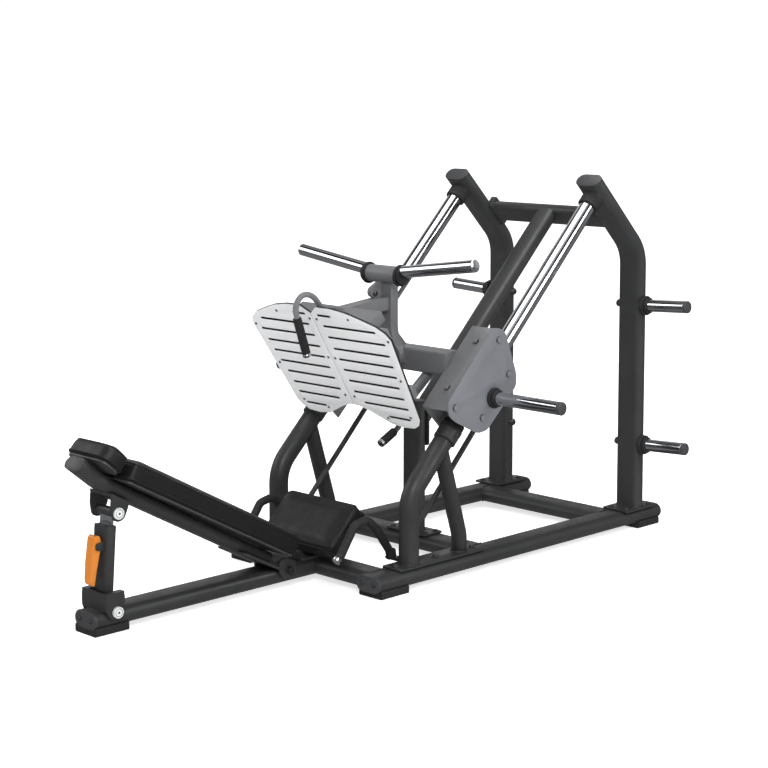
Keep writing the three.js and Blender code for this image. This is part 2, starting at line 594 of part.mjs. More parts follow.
const handleRoom = bar([30, 1093, 977], [146, 1329, 585], 38, 12, 0.1);
const carriageBody = join(frameBody, ...backRails, ...backCross, ...deepCross, ...lowPads);
addNode("carriage_frame", cut(carriageBody, handleRoom), "carriage");
addNode("release_handle", join(handleTube(22, 10), topGrip, lowGrip, lowGripEnd), "grip");

const topRise = Math.tan(THREE.MathUtils.degToRad(7.6));
const hornAt = (x) => [x, HUB[0], HUB[1] + 12 + (x - 80) * topRise];
const topHorn = join(
  bar([80 + GAP, ...HUB], [100, ...HUB], 84, 24, 3),
  bar(hornAt(90), hornAt(471), 48, 24, 3));
addPair("top_horn", topHorn, "chrome");

// ---- Seat ---------------------------------------------------------------------------------
// A stuffed pad on its board: rings of a rounded plan, drawn in towards the crowned face.
function pad(halfWidth, thickness, corner, crown, from, to) {
  const run = new THREE.Vector2(to[0] - from[0], to[1] - from[1]);
  const length = run.length();
  run.normalize();
  const wall = thickness - crown;
  const levels = [[5, 0], [0, 6], [0, wall - 14], [4, wall - 4], [12, wall], [30, wall + crown * 0.6], [52, thickness]];
  return loft(levels.map(([inset, rise]) => roundedRing(
    2 * (halfWidth - inset), length - 2 * Math.min(inset, length / 2 - 8), Math.max(corner - inset, 4), 3).map(
    ([a, b]) => {
      const along = length / 2 - b;
      return [a, from[0] + run.x * along - run.y * rise, from[1] + run.y * along + run.x * rise];
    })));
}
addNode("seat_pad", pad(SEAT_HALF_W, 72, 24, 4, [991, 102], [1137, 249]), "leather");

const seatFoot = flatPrism(softShape([[-46, 942], [46, 942], [46, 1100], [-46, 1100]], 22), TUBE_TOP_Z + GAP, 92);
const seatPost = sidePrism(softShape([
  [1030, TUBE_TOP_Z + GAP], [1100, TUBE_TOP_Z + GAP], [1200, 118], [1200, 165], [1136, 236], [1030, 134],
], 8), -50, 50);
addNode("seat_frame", join(seatPost, seatFoot), "frame");

const sideHandlePath = bentPath([
  [913, 126], [938, 147], [1004, 243], [1066, 256], [1116, 214], [1198, 101],
], 34, 3);
const handleTab = flatPrism(softShape([
  [HANDLE_X - 18, 1176], [RAIL_X - LEG_D / 2 - 2, 1176], [RAIL_X - LEG_D / 2 - 2, 1216], [HANDLE_X - 18, 1216],
], 10), TUBE_TOP_Z + PLATE + GAP, TUBE_TOP_Z + 2 * PLATE);
const handleFoot = bar([HANDLE_X, 1196, TUBE_TOP_Z + PLATE + GAP], [HANDLE_X, 1190, 122], 40, 16, 2);
addPair("side_handle", join(sweepSide(circleRing(32, 14), sideHandlePath, HANDLE_X), handleTab, handleFoot), "grip");

// ---- Back rest ----------------------------------------------------------------------------
const backPath = bentPath([[-33, 590], [70, 507], [790, 118]], 120, 4);
const backTube = sweepSide(ovalRing(SMALL_W, SMALL_H), backPath);
const cradlePlate = sidePrism(softShape([
  [635, 176], [640, 166], [800, 84], [852, 84], [852, 92], [803, 92], [660, 168],
], 3), -72, 72);
const ear = (x0) => sidePrism(softShape(
  [[807, 114], [836, 120], [873, 108], [894, 74], [880, 43], [846, 33], [810, 62]], 14), x0, x0 + PLATE);
const earBore = bar([-90, ...BACK_PIVOT], [90, ...BACK_PIVOT], 25, 16, 0.1);
const clevisCheek = (x0) => sidePrism(softShape(
  [[72, 472], [144, 434], [122, 386], [98, 378], [76, 388], [69, 430]], 12), x0, x0 + PLATE);
const upperPin = bar([-66, ...CLEVIS_PIN], [66, ...CLEVIS_PIN], 20, 16);
const upperHeads = [-1, 1].map((side) => bar([side * 61, ...CLEVIS_PIN], [side * 70, ...CLEVIS_PIN], 38, 20, 2));
const clevisTop = sidePrism(ringShape([[72, 468], [144, 430], [144, 441], [72, 480]]), -62, 62);
const backBody = join(backTube, cradlePlate, ear(64), ear(-72), clevisTop, clevisCheek(54), clevisCheek(-62));
addNode("back_frame", join(cut(backBody, earBore), upperPin, ...upperHeads), "frame");

addNode("back_pad", pad(126, 75, 26, 4, [98, 528], [847, 130]), "leather");
addNode("head_pad", pad(118, 74, 44, 14, [3, 614], [82, 544]), "leather");

// ---- Back support -------------------------------------------------------------------------
const supportTube = sweepSide(roundedRing(80, 40, 8, 2), bentPath([[67.6, 84], [88, 362]], 1));
const supportEye = bar([-40, ...SUPPORT_PIN], [40, ...SUPPORT_PIN], 28, 16);
const supportBore = bar([-60, ...SUPPORT_PIN], [60, ...SUPPORT_PIN], 21, 16, 0.1);
const innerBar = (extra) => sweepSide(roundedRing(66 + extra, 12 + extra, 2, 1), bentPath([[78, 150], [96.6, 404]], 1));
const upperEye = bar([-38, ...CLEVIS_PIN], [38, ...CLEVIS_PIN], 30, 16);
const upperBore = bar([-60, ...CLEVIS_PIN], [60, ...CLEVIS_PIN], 25, 16, 0.1);
const supportSleeve = sweepSide(roundedRing(67, 13, 1, 1), bentPath([[76.5, 130], [95.2, 385]], 1));
const leverLugs = [-1, 1].map((side) => sidePrism(
  softShape([[32, 284], [69, 280], [69, 312], [32, 308]], 8), side > 0 ? 20 : -25, side > 0 ? 25 : -20));
const leverPin = bar([-27, ...LEVER_PIVOT], [27, ...LEVER_PIVOT], 10, 12);
addNode("support_post", join(cut(join(supportTube, supportEye), supportBore, supportSleeve), ...leverLugs, leverPin), "frame");
addNode("support_bar", cut(join(innerBar(0), upperEye), upperBore), "chrome");
const leverBlade = sidePrism(softShape([
  [57, 310], [50, 332], [36, 335], [28, 326], [16, 244], [12, 182], [17, 166], [27, 163], [36, 212], [51, 276],
], 7), -19, 19);
const leverBore = bar([-30, ...LEVER_PIVOT], [30, ...LEVER_PIVOT], 11, 12, 0.1);
addNode("lock_lever", cut(leverBlade, leverBore), "lever");

export default group;
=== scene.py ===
"""Looks for a plate-loaded 45 degree leg press, laid out as a Blender add-on."""

import json
import math

import bmesh
import bpy
import numpy as np
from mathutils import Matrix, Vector
from mathutils.bvhtree import BVHTree

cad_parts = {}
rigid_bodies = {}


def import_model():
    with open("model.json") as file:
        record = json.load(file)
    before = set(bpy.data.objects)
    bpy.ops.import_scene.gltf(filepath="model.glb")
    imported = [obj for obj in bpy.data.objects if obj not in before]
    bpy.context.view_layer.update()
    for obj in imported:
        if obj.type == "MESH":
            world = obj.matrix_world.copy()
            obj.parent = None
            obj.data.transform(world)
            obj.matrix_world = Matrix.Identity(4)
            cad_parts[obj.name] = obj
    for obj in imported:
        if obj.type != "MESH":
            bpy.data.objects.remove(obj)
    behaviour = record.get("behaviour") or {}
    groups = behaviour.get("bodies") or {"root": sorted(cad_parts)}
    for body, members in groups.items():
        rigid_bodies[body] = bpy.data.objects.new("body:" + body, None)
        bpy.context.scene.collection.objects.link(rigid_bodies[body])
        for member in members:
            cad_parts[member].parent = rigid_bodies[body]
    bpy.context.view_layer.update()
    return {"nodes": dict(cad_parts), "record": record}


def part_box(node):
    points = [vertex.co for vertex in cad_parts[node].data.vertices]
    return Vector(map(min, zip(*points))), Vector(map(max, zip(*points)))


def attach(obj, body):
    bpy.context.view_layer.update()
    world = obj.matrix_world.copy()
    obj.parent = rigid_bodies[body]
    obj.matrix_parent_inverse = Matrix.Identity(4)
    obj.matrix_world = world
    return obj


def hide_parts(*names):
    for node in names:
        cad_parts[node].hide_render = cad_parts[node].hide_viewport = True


bl_info = {
    "name": "Leg Press Workshop",
    "version": (1, 0, 0),
    "blender": (4, 5, 0),
    "location": "View3D > Sidebar > Leg Press",
    "description": "Dresses the frame of a 45 degree leg press piece by piece",
    "category": "Object",
}

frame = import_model()
BODY_OF = {
    node: body
    for body, nodes in frame["record"]["behaviour"]["bodies"].items() for node in nodes
}
SLOT_OF = {row["node"]: row["material_slot"] for row in frame["record"]["subparts"]}

MM = 0.001
HEAD_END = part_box("head_foot")[0][1]


def at(x, y, z):
    """A point given in millimetres, with y counted from the front edge of the head foot."""
    return Vector((x * MM, HEAD_END + y * MM, z * MM))


# ---- Settings a user would change -----------------------------------------------------------
def colour(name, description, value):
    return bpy.props.FloatVectorProperty(
        name=name, description=description, subtype="COLOR", size=3, min=0.0, max=1.0, default=value
    )


def length(name, description, value):
    return bpy.props.FloatProperty(
        name=name, description=description, subtype="DISTANCE", unit="LENGTH", min=0.0, default=value
    )


class LegPressFinishes(bpy.types.PropertyGroup):
    """Colours of the painted, plated and covered parts."""

    frame: colour("Frame paint", "Powder coat on the floor frame and tower", (0.0245, 0.025, 0.026))
    carriage: colour("Carriage paint", "Powder coat on the sliding carriage", (0.128, 0.130, 0.135))
    side: colour("Side plate paint", "Lighter powder coat on the carriage side plates", (0.135, 0.141, 0.155))
    leather: colour("Pad cover", "Leatherette of the seat and back rest", (0.0048, 0.0048, 0.0052))
    lever: colour("Lever", "Moulded lock lever", (0.57, 0.178, 0.011))
    cap: colour("End caps", "Moulded tube caps", (0.035, 0.036, 0.038))


class LegPressSizes(bpy.types.PropertyGroup):
    """Sizes of the dressing that stands on the frame."""

    edge: length("Edge round", "Round on cut plate edges", 0.0012)
    voxel: length("Pad grid", "Grid that the pads are stuffed on", 0.006)
    swell: length("Pad swell", "How far the stuffing may push the cover", 0.007)
    piping: length("Piping", "Diameter of the cord round each pad", 0.006)


# ---- Materials -------------------------------------------------------------------------------
class Finish:
    """A node material with a Principled shader and short calls for what feeds it."""

    def __init__(self, name, base, roughness, metallic=0.0, **fixed):
        self.material = bpy.data.materials.new(name)
        self.material.use_nodes = True
        self.tree = self.material.node_tree
        self.shader = self.tree.nodes["Principled BSDF"]
        self.shader.inputs["Base Color"].default_value = (*base, 1.0)
        self.shader.inputs["Roughness"].default_value = roughness
        self.shader.inputs["Metallic"].default_value = metallic
        for socket, value in fixed.items():
            self.shader.inputs[socket.replace("_", " ")].default_value = value
        self.base = base

    def node(self, kind, **settings):
        made = self.tree.nodes.new(kind)
        for key, value in settings.items():
            setattr(made, key, value)
        return made

    def link(self, out, into):
        self.tree.links.new(out, into)

    def place(self, stretch=(1, 1, 1), turn=(0, 0, 0)):
        """Object coordinates, turned and then stretched."""
        coordinates = self.node("ShaderNodeTexCoord")
        mapping = self.node("ShaderNodeMapping")
        mapping.inputs["Rotation"].default_value = turn
        mapping.inputs["Scale"].default_value = stretch
        self.link(coordinates.outputs["Object"], mapping.inputs["Vector"])
        return mapping.outputs["Vector"]

    def noise(self, place, scale, detail=3.0, roughness=0.5):
        made = self.node("ShaderNodeTexNoise")
        made.inputs["Scale"].default_value = scale
        made.inputs["Detail"].default_value = detail
        made.inputs["Roughness"].default_value = roughness
        self.link(place, made.inputs["Vector"])
        return made.outputs["Fac"]

    def cells(self, place, scale, feature="F1"):
        made = self.node("ShaderNodeTexVoronoi", feature=feature)
        made.inputs["Scale"].default_value = scale
        self.link(place, made.inputs["Vector"])
        return made.outputs["Distance"]

    def spread(self, value, low, high, start=0.3, end=0.7):
        made = self.node("ShaderNodeMapRange")
        for socket, number in (("From Min", start), ("From Max", end), ("To Min", low), ("To Max", high)):
            made.inputs[socket].default_value = number
        self.link(value, made.inputs["Value"])
        return made.outputs["Result"]

    def mix(self, factor, dark, light):
        made = self.node("ShaderNodeMix", data_type="RGBA")
        for label, value in (("A", dark), ("B", light)):
            colours = (socket for socket in made.inputs if socket.type == "RGBA")
            next(socket for socket in colours if socket.name == label).default_value = (*value, 1.0)
        self.link(factor, made.inputs["Factor"])
        return next(s for s in made.outputs if s.type == "RGBA")

    def tint(self, value, dark=0.88, light=1.1):
        """Base colour that varies softly round its own value."""
        low = [c * dark for c in self.base]
        high = [min(1.0, c * light) for c in self.base]
        self.link(self.mix(value, low, high), self.shader.inputs["Base Color"])

    def rough(self, value, low, high):
        self.link(self.spread(value, low, high), self.shader.inputs["Roughness"])

    def bump(self, height, strength, distance, under=None):
        made = self.node("ShaderNodeBump")
        made.inputs["Strength"].default_value = strength
        made.inputs["Distance"].default_value = distance
        self.link(height, made.inputs["Height"])
        if under is not None:
            self.link(under, made.inputs["Normal"])
        return made.outputs["Normal"]

    def normal(self, value):
        self.link(value, self.shader.inputs["Normal"])


def powder_coat(name, base):
    finish = Finish(
        name, base, 0.42, 0.0, Coat_Weight=0.05, Coat_Roughness=0.3, Specular_IOR_Level=0.38)
    place = finish.place()
    cloud = finish.noise(place, 3.5, 4.0, 0.6)
    finish.tint(finish.spread(cloud, 0.0, 1.0), 0.9, 1.12)
    finish.rough(finish.noise(place, 22.0, 5.0, 0.65), 0.36, 0.52)
    orange_peel = finish.bump(finish.noise(place, 420.0, 2.0), 0.14, 0.0006)
    grit = finish.bump(finish.cells(place, 1500.0), 0.06, 0.0003, orange_peel)
    finish.normal(grit)
    return finish.material


def bright_chrome():
    finish = Finish("bright_chrome", (0.60, 0.61, 0.63), 0.1, 1.0)
    place = finish.place()
    finish.rough(finish.noise(place, 9.0, 6.0, 0.7), 0.06, 0.17)
    finish.tint(finish.noise(place, 2.0), 0.94, 1.04)
    finish.normal(finish.bump(finish.noise(place, 160.0, 2.0), 0.02, 0.0004))
    return finish.material


def brushed_aluminium():
    finish = Finish("brushed_aluminium", (0.74, 0.745, 0.755), 0.38, 0.22)
    along = finish.place((3.0, 900.0, 900.0))
    brush = finish.noise(along, 1.0, 4.0, 0.75)
    finish.rough(brush, 0.3, 0.46)
    finish.tint(finish.spread(brush, 0.0, 1.0), 0.86, 1.1)
    finish.normal(finish.bump(brush, 0.16, 0.0004))
    return finish.material


def black_rubber():
    finish = Finish("black_rubber", (0.010, 0.010, 0.011), 0.7)
    place = finish.place()
    finish.tint(finish.noise(place, 14.0, 5.0), 0.7, 1.6)
    finish.rough(finish.noise(place, 60.0), 0.62, 0.86)
    finish.normal(finish.bump(finish.noise(place, 700.0), 0.25, 0.0006))
    return finish.material


def moulded_plastic(name, base, gloss):
    finish = Finish(name, base, gloss)
    place = finish.place()
    finish.tint(finish.noise(place, 11.0, 4.0), 0.92, 1.08)
    finish.rough(finish.noise(place, 40.0), gloss - 0.06, gloss + 0.08)
    finish.normal(finish.bump(finish.cells(place, 900.0), 0.12, 0.0004))
    return finish.material


def leatherette():
    base = tuple(settings().leather)
    finish = Finish(
        "leatherette", base, 0.46, 0.0, Sheen_Weight=0.04, Sheen_Roughness=0.4, Specular_IOR_Level=0.34)
    place = finish.place()
    finish.tint(finish.noise(place, 9.0, 5.0, 0.6), 0.85, 1.25)
    grain = finish.cells(place, 620.0, "SMOOTH_F1")
    finish.rough(finish.noise(place, 30.0, 4.0), 0.44, 0.56)
    soft = finish.bump(finish.noise(place, 60.0, 3.0), 0.08, 0.0012)
    finish.normal(finish.bump(grain, 0.34, 0.0006, soft))
    return finish.material


def zinc_steel():
    finish = Finish("zinc_steel", (0.17, 0.17, 0.18), 0.36, 1.0)
    place = finish.place()
    finish.tint(finish.noise(place, 90.0, 3.0), 0.8, 1.15)
    finish.rough(finish.noise(place, 200.0), 0.26, 0.46)
    finish.normal(finish.bump(finish.noise(place, 1200.0), 0.08, 0.0003))
    return finish.material


# Brightness of the mirrored room: round the compass, and from the horizon up.
PANELS = (
    (0.0, 0.5), (0.05, 0.04), (0.15, 0.03), (0.18, 0.9), (0.24, 0.95), (0.27, 0.05), (0.36, 0.04),
    (0.40, 0.8), (0.47, 0.9), (0.50, 0.05), (0.60, 0.04), (0.64, 0.7), (0.70, 0.85), (0.73, 0.05),
    (0.83, 0.04), (0.87, 0.9), (0.95, 0.9), (1.0, 0.5),
)
BANDS = ((0.0, 0.8), (0.22, 1.0), (0.5, 1.0), (0.58, 0.25), (0.75, 0.2), (0.82, 1.0), (1.0, 1.0))


def grey_ramp(tree, stops, blue):
    """A ramp of greys from (position, brightness) stops, with its blue raised or lowered."""
    node = tree.nodes.new("ShaderNodeValToRGB")
    ramp = node.color_ramp
    ramp.elements[0].position, ramp.elements[1].position = stops[0][0], stops[-1][0]
    for position, _ in stops[1:-1]:
        ramp.elements.new(position)
    for element, (_, value) in zip(ramp.elements, stops):
        element.color = (value, value, value * blue, 1.0)
    return node


def plain_light(tree, strength):
    """A white background of one strength."""
    node = tree.nodes.new("ShaderNodeBackground")
    node.inputs["Color"].default_value = (1.0, 1.0, 1.0, 1.0)
    node.inputs["Strength"].default_value = strength
    return node


def studio_world():
    """An even pale room, white to the eye, with dark panels that only bright metal mirrors."""
    world = bpy.data.worlds.new("studio")
    world.use_nodes = True
    tree = world.node_tree
    link = tree.links.new
    mirrored = tree.nodes["Background"]
    coordinates = tree.nodes.new("ShaderNodeTexCoord")
    wheel = tree.nodes.new("ShaderNodeTexGradient")
    wheel.gradient_type = "RADIAL"
    panels = grey_ramp(tree, PANELS, 1.02)
    height = tree.nodes.new("ShaderNodeSeparateXYZ")
    bands = grey_ramp(tree, BANDS, 1.0)
    blend = tree.nodes.new("ShaderNodeMix")
    blend.data_type = "RGBA"
    blend.blend_type = "MULTIPLY"
    blend.inputs["Factor"].default_value = 1.0
    colours = [socket for socket in blend.inputs if socket.type == "RGBA"]
    result = next(socket for socket in blend.outputs if socket.type == "RGBA")
    link(coordinates.outputs["Generated"], wheel.inputs["Vector"])
    link(wheel.outputs["Fac"], panels.inputs["Fac"])
    link(coordinates.outputs["Generated"], height.inputs["Vector"])
    link(height.outputs["Z"], bands.inputs["Fac"])
    link(panels.outputs["Color"], colours[0])
    link(bands.outputs["Color"], colours[1])
    link(result, mirrored.inputs["Color"])
    mirrored.inputs["Strength"].default_value = 0.75
    soft = plain_light(tree, 0.36)
    white = plain_light(tree, 1.02)
    path = tree.nodes.new("ShaderNodeLightPath")
    by_gloss = tree.nodes.new("ShaderNodeMixShader")
    by_eye = tree.nodes.new("ShaderNodeMixShader")
    link(path.outputs["Is Glossy Ray"], by_gloss.inputs[0])
    link(soft.outputs["Background"], by_gloss.inputs[1])
    link(mirrored.outputs["Background"], by_gloss.inputs[2])
    link(path.outputs["Is Camera Ray"], by_eye.inputs[0])
    link(by_gloss.outputs["Shader"], by_eye.inputs[1])
    link(white.outputs["Background"], by_eye.inputs[2])
    link(by_eye.outputs["Shader"], tree.nodes["World Output"].inputs["Surface"])
    return world


def studio_floor():
    """A pale floor that stays white out to the horizon and looks dim in bright metal."""
    finish = Finish("studio_floor", (0.9, 0.9, 0.9), 0.9, Emission_Color=(1.0, 1.0, 1.0, 1.0))
    place = finish.place()
    finish.tint(finish.noise(place, 1.2, 2.0), 0.985, 1.01)
    reach = finish.node("ShaderNodeVectorMath", operation="LENGTH")
    finish.link(place, reach.inputs[0])
    glow = finish.spread(reach.outputs["Value"], 0.66, 1.1, 1.2, 4.5)
    finish.link(glow, finish.shader.inputs["Emission Strength"])
    dim = finish.node("ShaderNodeEmission")
    dim.inputs["Color"].default_value = (0.2, 0.2, 0.205, 1.0)
    path = finish.node("ShaderNodeLightPath")
    choice = finish.node("ShaderNodeMixShader")
    finish.link(path.outputs["Is Glossy Ray"], choice.inputs[0])
    finish.link(finish.shader.outputs["BSDF"], choice.inputs[1])
    finish.link(dim.outputs["Emission"], choice.inputs[2])
    finish.link(choice.outputs["Shader"], finish.tree.nodes["Material Output"].inputs["Surface"])
    return finish.material


def settings():
    return bpy.context.scene.leg_press_finishes


def sizes():
    return bpy.context.scene.leg_press_sizes


_made = {}
MAKERS = {
    "frame": lambda: powder_coat("frame_powder_coat", tuple(settings().frame)),
    "carriage": lambda: powder_coat("carriage_powder_coat", tuple(settings().carriage)),
    "carriage_side": lambda: powder_coat("side_plate_powder_coat", tuple(settings().side)),
    "chrome": bright_chrome,
    "aluminium": brushed_aluminium,
    "rubber": black_rubber,
    "cap": lambda: moulded_plastic("cap_plastic", tuple(settings().cap), 0.5),
    "leather": leatherette,
    "lever": lambda: moulded_plastic("lever_plastic", tuple(settings().lever), 0.34),
    "grip": black_rubber,
    "zinc": zinc_steel,
    "floor": studio_floor,
}


def finish_for(slot):
    key = "rubber" if slot == "grip" else slot
    if key not in _made:
        _made[key] = MAKERS[key]()
    return _made[key]


# ---- Making meshes ---------------------------------------------------------------------------
def piece_from(name, mesh, slot, body, smooth=35.0):
    made = bpy.data.objects.new(name, mesh)
    bpy.context.scene.collection.objects.link(made)
    mesh.materials.clear()
    mesh.materials.append(finish_for(slot))
    mesh.polygons.foreach_set("use_smooth", [True] * len(mesh.polygons))
    mesh.set_sharp_from_angle(angle=math.radians(smooth))
    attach(made, body)
    return made


def baked(made):
    """The object's evaluated shape as a plain mesh, with its modifiers gone."""
    graph = bpy.context.evaluated_depsgraph_get()
    mesh = bpy.data.meshes.new_from_object(made.evaluated_get(graph))
    made.modifiers.clear()
    made.data = mesh
    return mesh


def merged_copy(node):
    """A welded copy of a frame node's mesh with its flat faces made whole."""
    shape = bmesh.new()
    shape.from_mesh(frame["nodes"][node].data)
    bmesh.ops.remove_doubles(shape, verts=shape.verts, dist=2e-5)
    bmesh.ops.dissolve_limit(shape, angle_limit=math.radians(0.4), verts=shape.verts, edges=shape.edges)
    mesh = bpy.data.meshes.new(f"{node}_skin")
    shape.to_mesh(mesh)
    shape.free()
    return mesh


def dressed(node, edge=0.0, slot=None, smooth=35.0):
    """Stands a smooth, edge-rounded skin in for a rigid node."""
    slot = slot or SLOT_OF[node]
    made = piece_from(f"{node}_skin", merged_copy(node), slot, BODY_OF[node], smooth)
    if edge:
        bevel = made.modifiers.new("edges", "BEVEL")
        bevel.width = edge
        bevel.segments = 2
        bevel.limit_method = "ANGLE"
        bevel.angle_limit = math.radians(40)
        mesh = baked(made)
        mesh.polygons.foreach_set("use_smooth", [True] * len(mesh.polygons))
        mesh.set_sharp_from_angle(angle=math.radians(smooth))
    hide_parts(node)
    return made


def dress_all(nodes, edge=0.0):
    return [dressed(node, edge) for node in nodes]


def both(name):
    return [f"{name}_right", f"{name}_left"]


# ---- Shapes made in mesh code ------------------------------------------------------------------
def from_bmesh(shape, name, slot, body, smooth=35.0):
    mesh = bpy.data.meshes.new(name)
    bmesh.ops.recalc_face_normals(shape, faces=shape.faces)
    shape.to_mesh(mesh)
    shape.free()
    return piece_from(name, mesh, slot, body, smooth)


def circle_into(shape, foot, aim, along, radius, sides):
    """Adds a circle of points round a turned axis, so far along it."""
    ring = []
    for i in range(sides):
        angle = 2 * math.pi * i / sides
        spot = Vector((radius * math.cos(angle), radius * math.sin(angle), along)) * MM
        ring.append(shape.verts.new(foot + aim @ spot))
    return ring


def band_into(shape, low, high):
    """Joins two rings of the same count with a closed band of faces."""
    for i in range(len(low)):
        j = (i + 1) % len(low)
        shape.faces.new((low[i], low[j], high[j], high[i]))


def slab_into(shape, low, high):
    """Joins two outlines into a closed slab."""
    band_into(shape, low, high)
    shape.faces.new(low[::-1])
    shape.faces.new(high)


def turned(name, foot, direction, profile, slot, body, sides=40):
    """A turned solid: profile rows are (distance along, radius), closed at both ends."""
    aim = Vector((0, 0, 1)).rotation_difference(Vector(direction).normalized())
    shape = bmesh.new()
    rings = [circle_into(shape, foot, aim, along, radius, sides) for along, radius in profile]
    for low, high in zip(rings, rings[1:]):
        band_into(shape, low, high)
    for ring, along in ((rings[0][::-1], profile[0][0]), (rings[-1], profile[-1][0])):
        pole = shape.verts.new(foot + aim @ Vector((0, 0, along * MM)))
        for i in range(sides):
            shape.faces.new((ring[i], ring[(i + 1) % sides], pole))
    return from_bmesh(shape, name, slot, body)


def collar(name, foot, direction, start, end, bore, outside, slot, body, ease=1.0, sides=40):
    """A ring round a bar, with eased rims and an open bore."""
    aim = Vector((0, 0, 1)).rotation_difference(Vector(direction).normalized())
    section = (
        (start, bore), (start, outside - ease), (start + ease, outside),
        (end - ease, outside), (end, outside - ease), (end, bore),
    )
    shape = bmesh.new()
    rings = [circle_into(shape, foot, aim, along, radius, sides) for along, radius in section]
    for low, high in zip(rings, rings[1:] + rings[:1]):
        band_into(shape, low, high)
    return from_bmesh(shape, name, slot, body)


def pipe_along(name, points, radius, slot, body, closed=True, sides=10):
    """A round cord swept along a run of points."""
    curve = bpy.data.curves.new(name, "CURVE")
    curve.dimensions = "3D"
    curve.bevel_depth = radius * MM
    curve.bevel_resolution = max(1, sides // 4)
    curve.use_fill_caps = not closed
    spline = curve.splines.new("POLY")
    spline.points.add(len(points) - 1)
    for spot, place in zip(spline.points, points):
        spot.co = (*place, 1.0)
    spline.use_cyclic_u = closed
    holder = bpy.data.objects.new(f"{name}_path", curve)
    bpy.context.scene.collection.objects.link(holder)
    graph = bpy.context.evaluated_depsgraph_get()
    mesh = bpy.data.meshes.new_from_object(holder.evaluated_get(graph))
    bpy.data.objects.remove(holder)
    bpy.data.curves.remove(curve)
    shape = bmesh.new()
    shape.from_mesh(mesh)
    bpy.data.meshes.remove(mesh)
    bmesh.ops.remove_doubles(shape, verts=shape.verts, dist=1e-6)
    return from_bmesh(shape, name, slot, body, 60.0)


# ---- Geometry node trees -----------------------------------------------------------------------
class Tree:
    """A geometry node group with named inputs, built by short calls."""

    def __init__(self, name, inputs):
        self.group = bpy.data.node_groups.new(name, "GeometryNodeTree")
        self.ids = {}
        self.group.interface.new_socket("Geometry", in_out="INPUT", socket_type="NodeSocketGeometry")
        for label, kind, value in inputs:
            socket = self.group.interface.new_socket(label, in_out="INPUT", socket_type=kind)
            if value is not None:
                socket.default_value = value
            self.ids[label] = socket.identifier
        self.group.interface.new_socket("Geometry", in_out="OUTPUT", socket_type="NodeSocketGeometry")
        self.source = self.group.nodes.new("NodeGroupInput")
        self.sink = self.group.nodes.new("NodeGroupOutput")

    def node(self, kind, settings=None, **feeds):
        made = self.group.nodes.new(kind)
        for key, value in (settings or {}).items():
            setattr(made, key, value)
        for label, feed in feeds.items():
            spot = label.replace("_", " ")
            socket = made.inputs[int(spot[1:])] if spot[0] == "i" and spot[1:].isdigit() else made.inputs[spot]
            if isinstance(feed, bpy.types.NodeSocket):
                self.group.links.new(feed, socket)
            else:
                socket.default_value = feed
        return made

    def feed(self, label):
        return self.source.outputs[label]

    def math(self, operation, first, second=0.0):
        return self.node("ShaderNodeMath", {"operation": operation}, i0=first, i1=second).outputs[0]

    def finish(self, geometry):
        whole = self.node("GeometryNodeRealizeInstances", Geometry=geometry).outputs[0]
        painted = self.node("GeometryNodeSetMaterial", Geometry=whole, Material=self.feed("Finish")).outputs[0]
        self.group.links.new(painted, self.sink.inputs[0])


_trees = {}


# A bolt head from its washer up: share of the head's height, and how far the top draws in.
HEAD_STEPS = ((0.28, 1.0), (0.0, 0.86), (0.38, 1.0), (0.26, 0.9), (0.08, 0.82))


